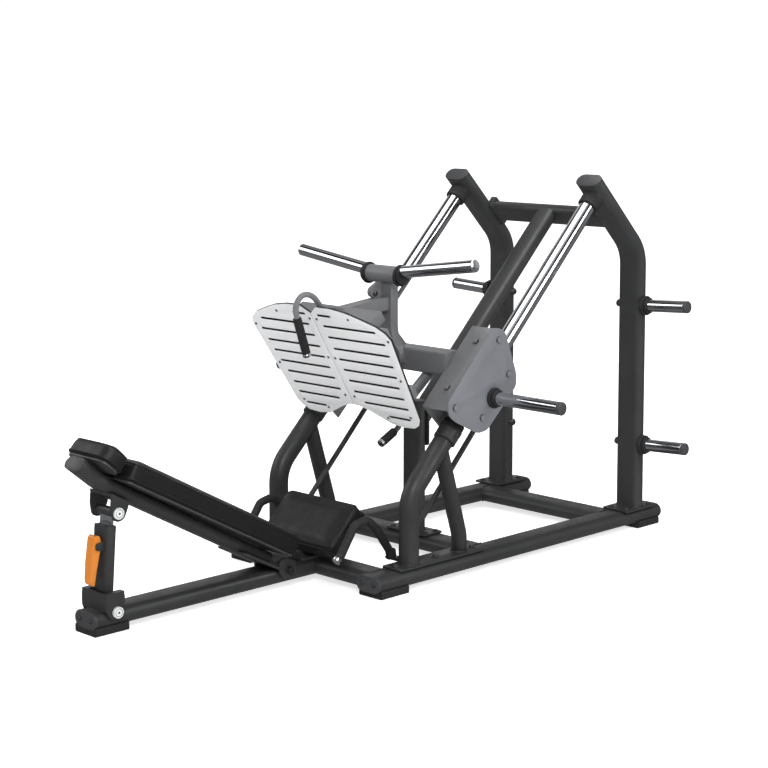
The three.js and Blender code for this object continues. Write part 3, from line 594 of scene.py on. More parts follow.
def bolt_tree():
    """Button heads with a six-sided socket and a washer, one on each point, aimed by its attribute."""
    if "bolt" in _trees:
        return _trees["bolt"]
    tree = Tree("socket_bolts", (
        ("Finish", "NodeSocketMaterial", None),
        ("Head Radius", "NodeSocketFloat", 1.0),
        ("Head Height", "NodeSocketFloat", 0.55),
        ("Socket Radius", "NodeSocketFloat", 0.52),
        ("Socket Depth", "NodeSocketFloat", 0.34),
    ))
    disc = tree.node("GeometryNodeMeshCircle", {"fill_type": "NGON"}, Vertices=24).outputs[0]
    radius = tree.feed("Head Radius")
    wide = tree.node("ShaderNodeCombineXYZ", X=radius, Y=radius, Z=1.0).outputs[0]
    disc = tree.node("GeometryNodeTransform", Geometry=disc, Scale=wide).outputs[0]

    def raised(geometry, top, height, scale):
        up = tree.node("ShaderNodeCombineXYZ", Z=height).outputs[0]
        pulled = tree.node(
            "GeometryNodeExtrudeMesh", Mesh=geometry, Selection=top, Offset=up, Offset_Scale=1.0,
            Individual=False)
        scaled = tree.node(
            "GeometryNodeScaleElements", Geometry=pulled.outputs["Mesh"],
            Selection=pulled.outputs["Top"], Scale=scale)
        return scaled.outputs[0], pulled.outputs["Top"]

    body, top = disc, True
    for share, scale in HEAD_STEPS:
        rise = tree.math("MULTIPLY", tree.feed("Head Height"), share) if share else 0.0
        body, top = raised(body, top, rise, scale)
    body, top = raised(body, top, 0.0, tree.feed("Socket Radius"))
    place = tree.node("GeometryNodeInputPosition").outputs[0]
    split = tree.node("ShaderNodeSeparateXYZ", Vector=place)
    angle = tree.math("ARCTAN2", split.outputs["Y"], split.outputs["X"])
    sixth = math.pi / 3
    swing = tree.math("SUBTRACT", tree.math("FLOORED_MODULO", angle, sixth), sixth / 2)
    pull = tree.math("DIVIDE", math.cos(math.pi / 6), tree.math("COSINE", swing))
    flat = tree.node("ShaderNodeCombineXYZ", X=pull, Y=pull, Z=1.0).outputs[0]
    hexed = tree.node("ShaderNodeVectorMath", {"operation": "MULTIPLY"}, i0=place, i1=flat).outputs[0]
    body = tree.node("GeometryNodeSetPosition", Geometry=body, Selection=top, Position=hexed).outputs[0]
    depth = tree.math("MULTIPLY", tree.feed("Socket Depth"), -1.0)
    down = tree.node("ShaderNodeCombineXYZ", Z=depth).outputs[0]
    sunk = tree.node(
        "GeometryNodeExtrudeMesh", Mesh=body, Selection=top, Offset=down, Offset_Scale=1.0,
        Individual=False)
    aim = tree.node("GeometryNodeInputNamedAttribute", {"data_type": "FLOAT_VECTOR"}, Name="aim").outputs[0]
    size = tree.node("GeometryNodeInputNamedAttribute", {"data_type": "FLOAT"}, Name="size").outputs[0]
    turn = tree.node("FunctionNodeAlignRotationToVector", {"axis": "Z"}, Vector=aim).outputs[0]
    stood = tree.node(
        "GeometryNodeInstanceOnPoints", Points=tree.feed("Geometry"), Instance=sunk.outputs["Mesh"],
        Rotation=turn, Scale=size)
    tree.finish(stood.outputs[0])
    _trees["bolt"] = tree
    return tree


def bead_tree():
    """A rippled weld bead that follows an edge loop."""
    if "bead" in _trees:
        return _trees["bead"]
    tree = Tree("weld_beads", (
        ("Finish", "NodeSocketMaterial", None),
        ("Bead Radius", "NodeSocketFloat", 0.004),
        ("Ripple Length", "NodeSocketFloat", 0.0022),
        ("Ripple Depth", "NodeSocketFloat", 0.16),
    ))
    curve = tree.node("GeometryNodeMeshToCurve", Mesh=tree.feed("Geometry")).outputs[0]
    even = tree.node(
        "GeometryNodeResampleCurve", {"mode": "LENGTH"}, Curve=curve, Length=tree.feed("Ripple Length")).outputs[0]
    count = tree.node("GeometryNodeInputIndex").outputs[0]
    third = tree.math("DIVIDE", tree.math("FLOORED_MODULO", count, 3.0), 2.0)
    dip = tree.math("MULTIPLY", third, tree.feed("Ripple Depth"))
    radius = tree.math("MULTIPLY", tree.math("SUBTRACT", 1.0, dip), tree.feed("Bead Radius"))
    shaped = tree.node("GeometryNodeSetCurveRadius", Curve=even, Radius=radius).outputs[0]
    section = tree.node("GeometryNodeCurvePrimitiveCircle", Resolution=8, Radius=1.0).outputs["Curve"]
    kids = tree.node("GeometryNodeCurveToMesh", Curve=shaped, Profile_Curve=section)
    if "Scale" in kids.inputs:
        reach = tree.node("GeometryNodeInputRadius").outputs[0]
        tree.group.links.new(reach, kids.inputs["Scale"])
    tree.finish(kids.outputs[0])
    _trees["bead"] = tree
    return tree


def rib_tree():
    """Fine raised rings along a straight run of points, as on a rubber grip."""
    if "rib" in _trees:
        return _trees["rib"]
    tree = Tree("grip_ribs", (
        ("Finish", "NodeSocketMaterial", None),
        ("Rib Thickness", "NodeSocketFloat", 0.0011),
        ("Grip Radius", "NodeSocketFloat", 0.015),
    ))
    ring, section = (
        tree.node("GeometryNodeCurvePrimitiveCircle", Resolution=count, Radius=tree.feed(label)).outputs["Curve"]
        for count, label in ((24, "Grip Radius"), (5, "Rib Thickness"))
    )
    rib = tree.node("GeometryNodeCurveToMesh", Curve=ring, Profile_Curve=section).outputs[0]
    aim = tree.node("GeometryNodeInputNamedAttribute", {"data_type": "FLOAT_VECTOR"}, Name="aim").outputs[0]
    turn = tree.node("FunctionNodeAlignRotationToVector", {"axis": "Z"}, Vector=aim).outputs[0]
    stood = tree.node("GeometryNodeInstanceOnPoints", Points=tree.feed("Geometry"), Instance=rib, Rotation=turn)
    tree.finish(stood.outputs[0])
    _trees["rib"] = tree
    return tree


def stitch_tree():
    """Short thread stitches along a seam, each lying in the seam's own direction."""
    if "stitch" in _trees:
        return _trees["stitch"]
    tree = Tree("seam_stitches", (
        ("Finish", "NodeSocketMaterial", None),
        ("Stitch Length", "NodeSocketFloat", 0.0038),
        ("Thread Radius", "NodeSocketFloat", 0.0005),
        ("Spacing", "NodeSocketFloat", 0.0056),
    ))
    curve = tree.node("GeometryNodeMeshToCurve", Mesh=tree.feed("Geometry")).outputs[0]
    even = tree.node(
        "GeometryNodeCurveToPoints", {"mode": "LENGTH"}, Curve=curve, Length=tree.feed("Spacing"))
    thread = tree.node(
        "GeometryNodeMeshUVSphere", Segments=6, Rings=4, Radius=1.0).outputs[0]
    stretch = tree.node(
        "ShaderNodeCombineXYZ", X=tree.feed("Thread Radius"), Y=tree.feed("Thread Radius"),
        Z=tree.math("MULTIPLY", tree.feed("Stitch Length"), 0.5)).outputs[0]
    thread = tree.node("GeometryNodeTransform", Geometry=thread, Scale=stretch).outputs[0]
    turn = tree.node("FunctionNodeAlignRotationToVector", {"axis": "Z"}, Vector=even.outputs["Tangent"]).outputs[0]
    stood = tree.node(
        "GeometryNodeInstanceOnPoints", Points=even.outputs["Points"], Instance=thread, Rotation=turn)
    tree.finish(stood.outputs[0])
    _trees["stitch"] = tree
    return tree


def grown_by(tree, name, mesh, slot, body, smooth=35.0, **sizes_given):
    """Runs a node tree over a seed mesh and keeps the result as a plain piece."""
    seed = bpy.data.objects.new(name, mesh)
    bpy.context.scene.collection.objects.link(seed)
    grow = seed.modifiers.new("grow", "NODES")
    grow.node_group = tree.group
    grow[tree.ids["Finish"]] = finish_for(slot)
    for label, value in sizes_given.items():
        grow[tree.ids[label.replace("_", " ")]] = value
    graph = bpy.context.evaluated_depsgraph_get()
    grown_mesh = bpy.data.meshes.new_from_object(seed.evaluated_get(graph))
    bpy.data.objects.remove(seed)
    bpy.data.meshes.remove(mesh)
    return piece_from(name, grown_mesh, slot, body, smooth)


def bolts(name, rows, slot, body):
    """Bolts from rows of (place, aim, head radius in mm), all on one body."""
    mesh = bpy.data.meshes.new(f"{name}_seats")
    mesh.from_pydata([place for place, _, _ in rows], [], [])
    mesh.attributes.new("aim", "FLOAT_VECTOR", "POINT")
    mesh.attributes.new("size", "FLOAT", "POINT")
    for i, (_, aim, radius) in enumerate(rows):
        mesh.attributes["aim"].data[i].vector = Vector(aim).normalized()
        mesh.attributes["size"].data[i].value = radius * MM
    # Each zinc bolt gets a small black head sunk in its socket: painted shade in the socket hole.
    if slot == "zinc" and "sockets" not in name:
        deep = [(place + Vector(aim).normalized() * 0.1 * r * MM, aim, r * 0.46) for place, aim, r in rows]
        bolts(f"{name}_sockets", deep, "rubber", body)
    return grown_by(bolt_tree(), name, mesh, slot, body)


def loops_mesh(name, loops):
    """One edge mesh holding several closed runs of points."""
    verts = [spot for loop in loops for spot in loop]
    edges = []
    start = 0
    for loop in loops:
        edges += [(start + i, start + (i + 1) % len(loop)) for i in range(len(loop))]
        start += len(loop)
    mesh = bpy.data.meshes.new(name)
    mesh.from_pydata(verts, edges, [])
    return mesh


def beads(name, loops, slot, body, radius=4.0):
    path = loops_mesh(f"{name}_path", loops)
    return grown_by(bead_tree(), name, path, slot, body, 60.0, Bead_Radius=radius * MM)


def oval_loop(centre, across, along, width, height, steps=16):
    """Points round a flat-oval or round tube's section, width taken along the first direction."""
    across, along = Vector(across), Vector(along)
    radius = min(width, height) / 2
    straight_a, straight_b = width / 2 - radius, height / 2 - radius
    ring = []
    for i in range(4 * steps):
        angle = 2 * math.pi * (i + 0.5) / (4 * steps)
        a = math.copysign(straight_a, math.cos(angle)) + radius * math.cos(angle)
        b = math.copysign(straight_b, math.sin(angle)) + radius * math.sin(angle)
        ring.append(centre + across * a * MM + along * b * MM)
    return ring


def ribs(name, start, end, radius, slot, body, spacing=3.2, thickness=1.0):
    run = end - start
    count = max(2, int(run.length / (spacing * MM)))
    mesh = bpy.data.meshes.new(f"{name}_seats")
    mesh.from_pydata([start + run * (i / count) for i in range(count + 1)], [], [])
    aims = mesh.attributes.new("aim", "FLOAT_VECTOR", "POINT")
    for row in aims.data:
        row.vector = run.normalized()
    return grown_by(
        rib_tree(), name, mesh, slot, body, 60.0, Grip_Radius=radius * MM, Rib_Thickness=thickness * MM)


# ---- Where things lie --------------------------------------------------------------------------
DIAGONAL = math.sqrt(0.5)
UP_RODS = Vector((0, DIAGONAL, DIAGONAL))
ROD_X = 361.0
RAIL_MM = 359.0
RAIL_Z = 50.0
RAIL_ROUND = 30.0
FLANGE_TOP = 88.0
BOLT_SEAT = 87.4
POST_Y = 2508.0
COLUMN_Y = 1584.0
HORN_SPOT = (1563.0, 668.0)
HUB_SPOT = (1420.0, 1114.0)
LUG_SPOT = (1372.0, 1042.0)
PEG_Z = (354.0, 935.0)
SUPPORT_PIN = (80.0, 75.0)
CLEVIS_PIN = (97.0, 409.0)
BACK_PIVOT = (856.0, 72.0)
LEVER_PIVOT = (42.0, 296.0)
PLATE_TILT = math.radians(31.2)
PLATE_OUT = Vector((0, -math.cos(PLATE_TILT), -math.sin(PLATE_TILT)))
PLATE_SCREWS = (
    (195, 407), (361, 327), (19, 390), (331, 143), (19, 208), (292, -35), (25, 26), (163, -56),
)
SIDES = ((1, "right"), (-1, "left"))


def on_rods(x, y):
    return at(x, y, y - 850.0)


def on_plate(x, q, out=0.0):
    """A spot on a foot plate's face: sideways, up the slope, and proud of it."""
    foot = at(x, 1247, 641)
    up = Vector((0, -math.sin(PLATE_TILT), math.cos(PLATE_TILT)))
    return foot + up * q * MM + PLATE_OUT * out * MM


def mirrored_rows(rows):
    """The same bolts on both sides of the machine."""
    flipped = [(Vector((-p[0], p[1], p[2])), Vector((-a[0], a[1], a[2])), r) for p, a, r in rows]
    return [(Vector(p), Vector(a), r) for p, a, r in rows] + flipped


def stand_in(node, pieces):
    for piece in pieces:
        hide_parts(node)


# Rounds of evening a pad's swell, and how far its cover starts inside the CAD pad.
EVENING = 24
SLACK = 0.8
# The release handle's tube, from its top grip over the bend and down to its low grip.
HANDLE_POINTS = (
    (0, 1012, 842), (0, 989, 910), (0, 966, 976), (2, 958, 1030), (6, 985, 1066),
    (14, 1026, 1062), (22, 1066, 1016), (48, 1130, 905), (90, 1214, 765), (138, 1312, 612),
    (149, 1345, 561), (150, 1331, 538), (150, 1262, 504),
)
# The right foot plate's rim on its own face, as (sideways, up the slope), and how far behind the face the two
# sides of its black sheet lie; the sheet shows as a dark rim round the plate, painted shade along the plate's
# edge.
EDGE_SHADE_FACES = (-8.4, -5.7)
PLATE_OUTLINE = (
    (0.6, 416), (43, 448), (119, 447), (192, 435), (260, 413), (325, 389), (362, 362), (378, 333),
    (336, -41), (318, -68), (287, -87), (227, -92), (168, -83), (117, -58), (74, -36), (28, -19), (0.6, -18),
)


def curved(points, steps):
    """A smooth run through the points, evenly weighted."""
    ends = [points[0] * 2 - points[1], *points, points[-1] * 2 - points[-2]]
    run = []
    for a, b, c, d in zip(ends, ends[1:], ends[2:], ends[3:]):
        for i in range(steps):
            t = i / steps
            bend, twist = 2 * a - 5 * b + 4 * c - d, 3 * b - a - 3 * c + d
            run.append(0.5 * (2 * b + (c - a) * t + bend * t ** 2 + twist * t ** 3))
    return [*run, points[-1]]


# ---- Pads --------------------------------------------------------------------------------------
class PadPlan:
    """Where a pad's board lies: half width, thickness and corner in mm, and its two ends as (y, z)."""

    def __init__(self, node, half, thickness, corner, start, end):
        self.node = node
        self.half, self.thickness, self.corner = half, thickness, corner
        run = Vector((0, end[0] - start[0], end[1] - start[1]))
        self.length = run.length
        self.along = run.normalized()
        self.out = Vector((0, -self.along.z, self.along.y))
        self.middle = (at(0, *start) + at(0, *end)) / 2
        self.body = BODY_OF[node]

    def ring(self, inset, rise, steps=14):
        """Closed run of points round the plan, in from its edge and up from its board."""
        half, reach = self.half - inset, self.length / 2 - inset
        corner = max(self.corner - inset, 3.0)
        ring = []
        for quarter, (sx, sy) in enumerate(((1, 1), (-1, 1), (-1, -1), (1, -1))):
            for i in range(steps):
                angle = math.pi / 2 * (quarter + i / (steps - 1))
                a = sx * (half - corner) + corner * math.cos(angle)
                b = sy * (reach - corner) + corner * math.sin(angle)
                ring.append((a, b))
        even = []
        for (a0, b0), (a1, b1) in zip(ring, ring[1:] + ring[:1]):
            count = max(1, int(math.hypot(a1 - a0, b1 - b0) / 8.0))
            even += [(a0 + (a1 - a0) * k / count, b0 + (b1 - b0) * k / count) for k in range(count)]
        return [self.spot(a, b, rise) for a, b in even]

    def spot(self, a, b, rise):
        return self.middle + Vector((a, 0, 0)) * MM + self.along * b * MM + self.out * rise * MM


PADS = {
    "seat_pad": PadPlan("seat_pad", 194, 72, 24, (991, 102), (1137, 249)),
    "back_pad": PadPlan("back_pad", 126, 75, 26, (98, 528), (847, 130)),
    "head_pad": PadPlan("head_pad", 118, 74, 44, (3, 614), (82, 544)),
}


# Frames that the cloth runs for, and how far up from its board a pad's cover is held.
STUFFING_FRAMES = 20
BOARD_GRIP = 9


def settle(mesh, swollen):
    """Moves a mesh out to its swollen copy, capped, with the swell evened out so the cover lies taut."""
    count = len(mesh.vertices)
    start, end, normal = (np.empty(3 * count) for _ in range(3))
    mesh.vertices.foreach_get("co", start)
    mesh.vertices.foreach_get("normal", normal)
    swollen.vertices.foreach_get("co", end)
    start, end, normal = (row.reshape(-1, 3) for row in (start, end, normal))
    out = np.clip(((end - start) * normal).sum(axis=1), -0.5 * MM, sizes().swell)
    edges = np.empty(2 * len(mesh.edges), dtype=int)
    mesh.edges.foreach_get("vertices", edges)
    a, b = edges.reshape(-1, 2).T
    near = np.bincount(a, minlength=count) + np.bincount(b, minlength=count)
    for _ in range(EVENING):
        total = np.bincount(a, out[b], count) + np.bincount(b, out[a], count)
        out = 0.5 * out + 0.5 * total / np.maximum(near, 1)
    mesh.vertices.foreach_set("co", (start + normal * out[:, None]).ravel())


def stuffed(plan):
    """The pad's cover, swelled by a pressure cloth simulation and held flat on its board."""
    mesh = merged_copy(plan.node)
    pad = bpy.data.objects.new(f"{plan.node}_cover", mesh)
    bpy.context.scene.collection.objects.link(pad)
    normals = [vertex.normal.copy() for vertex in mesh.vertices]
    for vertex, normal in zip(mesh.vertices, normals):
        vertex.co -= normal * SLACK * MM
    grid = pad.modifiers.new("grid", "REMESH")
    grid.mode = "VOXEL"
    grid.voxel_size = sizes().voxel
    mesh = baked(pad)
    held = pad.vertex_groups.new(name="board")
    low = [
        vertex.index for vertex in mesh.vertices
        if (vertex.co - plan.middle).dot(plan.out) < BOARD_GRIP * MM
    ]
    held.add(low, 1.0, "REPLACE")
    cloth = pad.modifiers.new("stuffing", "CLOTH")
    cloth.settings.vertex_group_mass = "board"
    cloth.settings.use_pressure = True
    cloth.settings.uniform_pressure_force = 4.0
    cloth.settings.effector_weights.gravity = 0.0
    cloth.point_cache.frame_start = 1
    cloth.point_cache.frame_end = STUFFING_FRAMES
    for step in range(1, STUFFING_FRAMES + 1):
        bpy.context.scene.frame_set(step)
    swollen = baked(pad)
    bpy.context.scene.frame_set(1)
    settle(mesh, swollen)
    pad.data = mesh
    fine = pad.modifiers.new("fine", "SUBSURF")
    fine.levels = fine.render_levels = 1
    mesh = baked(pad)
    bpy.data.objects.remove(pad)
    cover = piece_from(f"{plan.node}_cover", mesh, "leather", plan.body, 180.0)
    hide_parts(plan.node)
    return cover


def seam_on(cover, ring, lift):
    """Points of a ring laid on the cover's own surface, a little proud of it."""
    tree = BVHTree.FromObject(cover, bpy.context.evaluated_depsgraph_get())
    laid = []
    for spot in ring:
        place, normal, _, _ = tree.find_nearest(spot)
        laid.append(place + normal * lift * MM)
    return laid


def upholstered(name):
    """Cover, piping, stitches and board of one pad."""
    plan = PADS[name]
    cover = stuffed(plan)
    cord = sizes().piping / MM / 2
    for tag, inset, rise in (("top", 5.0, plan.thickness - 14.0), ("low", 0.0, 10.0)):
        path = seam_on(cover, plan.ring(inset, rise), cord * 0.25)
        pipe_along(f"{name}_{tag}_piping", path, cord, "leather", plan.body)
    thread_path = seam_on(cover, plan.ring(0.0, plan.thickness - 26.0), 0.1)
    grown_by(
        stitch_tree(), f"{name}_stitches", loops_mesh(f"{name}_thread_path", [thread_path]),
        "leather", plan.body, 60.0)
    board = bmesh.new()
    rims = [plan.ring(9.0, rise) for rise in (-5.0, 3.0)]
    rows = [[board.verts.new(spot) for spot in rim] for rim in rims]
    slab_into(board, *rows)
    from_bmesh(board, f"{name}_board", "cap", plan.body)


# ---- Operators -------------------------------------------------------------------------------
def loading_bar(name, node, foot, direction, reach, radius, tip, collars, body):
    """A plated bar with stepped rubber collars at its root and a moulded cap on its tip."""
    plated = turned(
        f"{name}_bar", foot, direction,
        ((0, radius), (reach - tip - 0.6, radius), (reach - tip, radius - 0.8)), "chrome", body)
    cap = turned(
        f"{name}_cap", foot, direction,
        ((reach - tip - 1.5, radius - 1.4), (reach - tip, radius - 0.4), (reach - 3, radius + 0.2),
         (reach - 0.9, radius - 1.2), (reach, radius - 3.6)), "cap" if tip > 4 else "chrome", body)
    pieces = [plated, cap]
    for i, (start, end, outside) in enumerate(collars):
        pieces.append(collar(
            f"{name}_collar_{i + 1}", foot, direction, start, end, radius + 0.15, outside, "rubber", body, 2.6))
    stand_in(node, pieces)


def pin_end(name, foot, direction, thickness, radius, body):
    """A plated pin head with a turned groove and a dark centre."""
    turned(
        name, foot, direction,
        ((0, radius), (thickness - 1.2, radius), (thickness, radius - 1.2), (thickness, radius - 4.5),
         (thickness - 0.9, radius - 5.2), (thickness - 0.9, radius - 6.4), (thickness, radius - 7.1),
         (thickness, 4.4), (thickness - 1.4, 4.0), (thickness - 1.4, 1.0)), "aluminium", body)
    turned(f"{name}_centre", foot, direction, ((thickness - 1.6, 3.8), (thickness - 0.4, 3.0)), "rubber", body, 16)


class LEGPRESS_OT_stage(bpy.types.Operator):
    """Sets the floor, the soft studio light and the camera."""

    bl_idname = "legpress.stage"
    bl_label = "Stage"

    def execute(self, context):
        mesh = bpy.data.meshes.new("studio_floor")
        reach = 30.0
        corners = [(x * reach, y * reach, 0) for x, y in ((-1, -1), (1, -1), (1, 1), (-1, 1))]
        mesh.from_pydata(corners, [], [(0, 1, 2, 3)])
        floor = bpy.data.objects.new("studio_floor", mesh)
        mesh.materials.append(finish_for("floor"))
        context.scene.collection.objects.link(floor)
        floor.location.z = -0.0005
        context.scene.world = studio_world()
        for name, place, size, power, target in (
            ("key_light", (3.8, -3.6, 4.2), 2.6, 185.0, (0, 0, 0.5)),
            ("side_light", (4.6, 1.6, 2.6), 2.2, 80.0, (0, 0.2, 0.6)),
            ("fill_light", (-4.5, -3.0, 3.4), 3.0, 85.0, (0, 0, 0.5)),
            ("top_light", (0.0, 0.6, 5.4), 3.6, 165.0, (0, 0.2, 0.0)),
        ):
            data = bpy.data.lights.new(name, "AREA")
            data.energy = power
            data.size = size
            lamp = bpy.data.objects.new(name, data)
            lamp.location = place
            lamp.rotation_mode = "QUATERNION"
            lamp.rotation_quaternion = (Vector(target) - Vector(place)).to_track_quat("-Z", "Y")
            context.scene.collection.objects.link(lamp)
        data = bpy.data.cameras.new("view_camera")
        data.sensor_width = 36.0
        data.lens = 85.14
        data.shift_x = 0.003
        data.shift_y = -0.1424
        camera = bpy.data.objects.new("view_camera", data)
        camera.location = at(4921.7, -3483.9, 1841.7)
        dip = math.radians(6.0)
        heading = Vector((-0.7096, 0.7046, 0.0)) * math.cos(dip)
        heading.z = -math.sin(dip)
        camera.rotation_mode = "QUATERNION"
        camera.rotation_quaternion = heading.to_track_quat("-Z", "Y")
        context.scene.collection.objects.link(camera)
        context.scene.camera = camera
        context.scene.view_settings.view_transform = "Standard"
        return {"FINISHED"}


class LEGPRESS_OT_floor_frame(bpy.types.Operator):
    """Dresses the rails, cross members, centre beam, caps and feet."""

    bl_idname = "legpress.floor_frame"
    bl_label = "Floor Frame"

    def execute(self, context):
        edge = sizes().edge
        dress_all(both("base_rail") + ["front_cross_member", "middle_cross_member", "rear_cross_member"])
        dress_all(["centre_beam"], edge)
        dress_all(both("rail_front_cap") + ["head_end_cap"], edge * 1.5)
        dress_all(both("front_foot") + both("rear_foot") + ["head_foot"], edge * 2)
        screws = [
            (at(x + dx, y, RAIL_Z), (0, -1, 0), 7.6)
            for x, y in ((RAIL_MM, 974.6), (-RAIL_MM, 974.6), (0, -1.4)) for dx in (-30, 30)
        ]
        bolts("cap_screws", screws, "zinc", "root")
        saddles = []
        for y in (1055.0, 1584.0, 2385.0):
            for side, _ in SIDES:
                loop = oval_loop(at(0, y, RAIL_Z), (0, 1, 0), (0, 0, 1), 120, 60)
                for spot in loop:
                    rise = min(29.9, abs(spot.z / MM - RAIL_Z))
                    bulge = math.sqrt(RAIL_ROUND ** 2 - rise ** 2)
                    spot.x = side * (RAIL_MM - RAIL_ROUND - bulge - 0.5) * MM
                saddles.append(loop)
        beads("rail_welds", saddles, "frame", "root")
        for side, tag in SIDES:
            pin_end(f"lower_pin_{tag}", at(side * 70.5, *SUPPORT_PIN), (side, 0, 0), 12.0, 19.6, "root")
        bolts("pivot_bolts", mirrored_rows([(at(81.4, *BACK_PIVOT), (1, 0, 0), 14.0)]), "rubber", "root")
        return {"FINISHED"}


class LEGPRESS_OT_tower(bpy.types.Operator):
    """Dresses the bent posts, caps, top cross member, spine and column."""

    bl_idname = "legpress.tower"
    bl_label = "Tower"

    def execute(self, context):
        edge = sizes().edge
        dress_all(both("tower_post") + ["top_cross_member", "spine_beam", "centre_column"], edge)
        dress_all(both("post_cap"), edge * 2)
        up = (0, 0, 1)
        rows = mirrored_rows([
            (at(RAIL_MM + dx, POST_Y + dy, BOLT_SEAT), up, 11.6) for dx in (-40, 40) for dy in (-75, 75)])
        rows += [(at(x, COLUMN_Y + dy, BOLT_SEAT), up, 11.6) for x in (-90, 90) for dy in (-28, 28)]
        rows += [(at(x, 1617, 446), (0, 1, 0), 11.6) for x in (-30, 30)]
        peg_rows = [(at(RAIL_MM - 68, POST_Y, z), (-1, 0, 0), 15.6) for z in PEG_Z]
        bolts("tower_bolts", rows + mirrored_rows(peg_rows), "zinc", "root")
        feet = [(side * RAIL_MM, POST_Y, 121, 61) for side, _ in SIDES] + [(0, COLUMN_Y, 101, 51)]
        loops = [oval_loop(at(x, y, FLANGE_TOP), (1, 0, 0), (0, 1, 0), wide, deep) for x, y, wide, deep in feet]
        beads("tower_welds", loops, "frame", "root")
        for side, tag in SIDES:
            foot = on_rods(side * ROD_X, 2203)
            collar(f"rod_socket_{tag}", foot, UP_RODS, -2, 52, 32.9, 42.2, "rubber", "root", 3.0, 48)
        return {"FINISHED"}


class LEGPRESS_OT_guides(bpy.types.Operator):
    """Dresses the guide rods with their legs, braces, collars, bumpers and stop bars."""

    bl_idname = "legpress.guides"
    bl_label = "Guide Rods"

    def execute(self, context):
        edge = sizes().edge
        dress_all(both("guide_rod") + both("rod_collar") + both("rod_bumper"))
        dress_all(both("front_leg") + both("leg_brace") + both("stop_bar"), edge)
        rows = [(at(RAIL_MM, y, BOLT_SEAT), (0, 0, 1), 14.6) for y in (1118, 1330, 1530)]
        rows.append((on_rods(ROD_X + 43.4, 1392), (1, 0, 0), 8.0))
        bolts("leg_bolts", mirrored_rows(rows), "zinc", "root")
        loops = []
        for side, tag in SIDES:
            for y, across in ((1187, 77), (1458, 61)):
                loops.append(oval_loop(at(side * RAIL_MM, y, FLANGE_TOP), (1, 0, 0), (0, 1, 0), across, across))
            foot = on_rods(side * ROD_X, 1370)
            collar(f"collar_band_{tag}", foot, UP_RODS, 44, 61, 32.8, 44.7, "rubber", "root", 2.2, 48)
        beads("leg_welds", loops, "frame", "root")
        return {"FINISHED"}


class LEGPRESS_OT_horns(bpy.types.Operator):
    """Builds the loading horns and storage pegs with their collars and caps."""

    bl_idname = "legpress.horns"
    bl_label = "Horns and Pegs"

    def execute(self, context):
        lean = math.tan(math.radians(3.0))
        for level, z in zip(("lower", "upper"), PEG_Z):
            for side, tag in SIDES:
                way = Vector((side, 0, lean)).normalized()
                loading_bar(
                    f"peg_{level}_{tag}", f"storage_peg_{level}_{tag}", at(side * 416, POST_Y, z - 0.5), way,
                    223.8, 25.0, 13.0, ((2.5, 20.0, 40.0), (20.2, 34.0, 33.0)), "root")
        for side, tag in SIDES:
            loading_bar(
                f"side_horn_{tag}", f"side_horn_{tag}", at(side * 435.4, *HORN_SPOT), (side, 0, 0),
                335.5, 25.0, 14.0, ((0.2, 13.0, 39.0), (13.2, 27.0, 33.0)), "carriage")
            rise = math.tan(math.radians(7.6))
            way = Vector((side, 0, rise)).normalized()
            foot = at(side * 84, 1420, 1114 + 12 + 4 * rise)
            loading_bar(
                f"top_horn_{tag}", f"top_horn_{tag}", foot, way, 390.4, 24.0, 3.4, (), "carriage")
            hub = at(side * 80.4, *HUB_SPOT)
            for i, (start, end, outside) in enumerate(((0, 11, 42), (11.2, 22, 36))):
                ring = turned(
                    f"hub_collar_{tag}_{i + 1}", hub, (side, 0, 0),
                    ((start, outside - 2), (start + 2, outside), (end - 2.4, outside), (end, outside - 3)),
                    "rubber", "carriage", 48)
                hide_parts(f"top_horn_{tag}")
        return {"FINISHED"}


class LEGPRESS_OT_carriage(bpy.types.Operator):
    """Dresses the sliding carriage and its foot plates."""

    bl_idname = "legpress.carriage"
    bl_label = "Carriage"

    def execute(self, context):
        edge = sizes().edge
        dress_all(both("side_plate") + both("bearing_housing") + ["carriage_frame"], edge)
        for node in both("foot_plate"):
            plate = dressed(node, edge * 0.7)
            # The plate's edge and slot-wall faces take the black rubber finish: painted shade along the edge and
            # inside the slots.
            plate.data.materials.append(finish_for("rubber"))
            for face in plate.data.polygons:
                if abs(face.normal.dot(PLATE_OUT)) < 0.35:
                    face.material_index = 1
        for side, tag in SIDES:
            # A black sheet just behind each plate: painted shade along the plate's edge.
            sheet = bmesh.new()
            outline = PLATE_OUTLINE if side > 0 else PLATE_OUTLINE[::-1]
            layers = [
                [sheet.verts.new(on_plate(side * (x + 0.6 if x > 1 else x), q, out)) for x, q in outline]
                for out in EDGE_SHADE_FACES
            ]
            slab_into(sheet, *layers)
            from_bmesh(sheet, f"foot_plate_edge_shade_{tag}", "rubber", "carriage")
        plate_bolts = ((1591, 884), (1648, 749), (1352, 656), (1501, 600))
        rows = [(at(434.4, y, z), (1, 0, 0), 13.4) for y, z in plate_bolts]
        drop = 850.0 * DIAGONAL
        for s in (1489.0, 1711.0):
            rows.append((at(363, DIAGONAL * (s - 130 + drop), DIAGONAL * (s + 130 - drop)), (0, -1, 1), 13.4))
        rows = mirrored_rows(rows)
        rows += [(at(x, *LUG_SPOT), (aim, 0, 0), 12.0) for x, aim in ((-4.2, 1), (-19.8, -1))]
        bolts("carriage_bolts", rows, "zinc", "carriage")
        screws = mirrored_rows([(on_plate(x, q, -0.3), PLATE_OUT, 5.6) for x, q in PLATE_SCREWS])
        bolts("foot_plate_screws", screws, "zinc", "carriage")
        return {"FINISHED"}


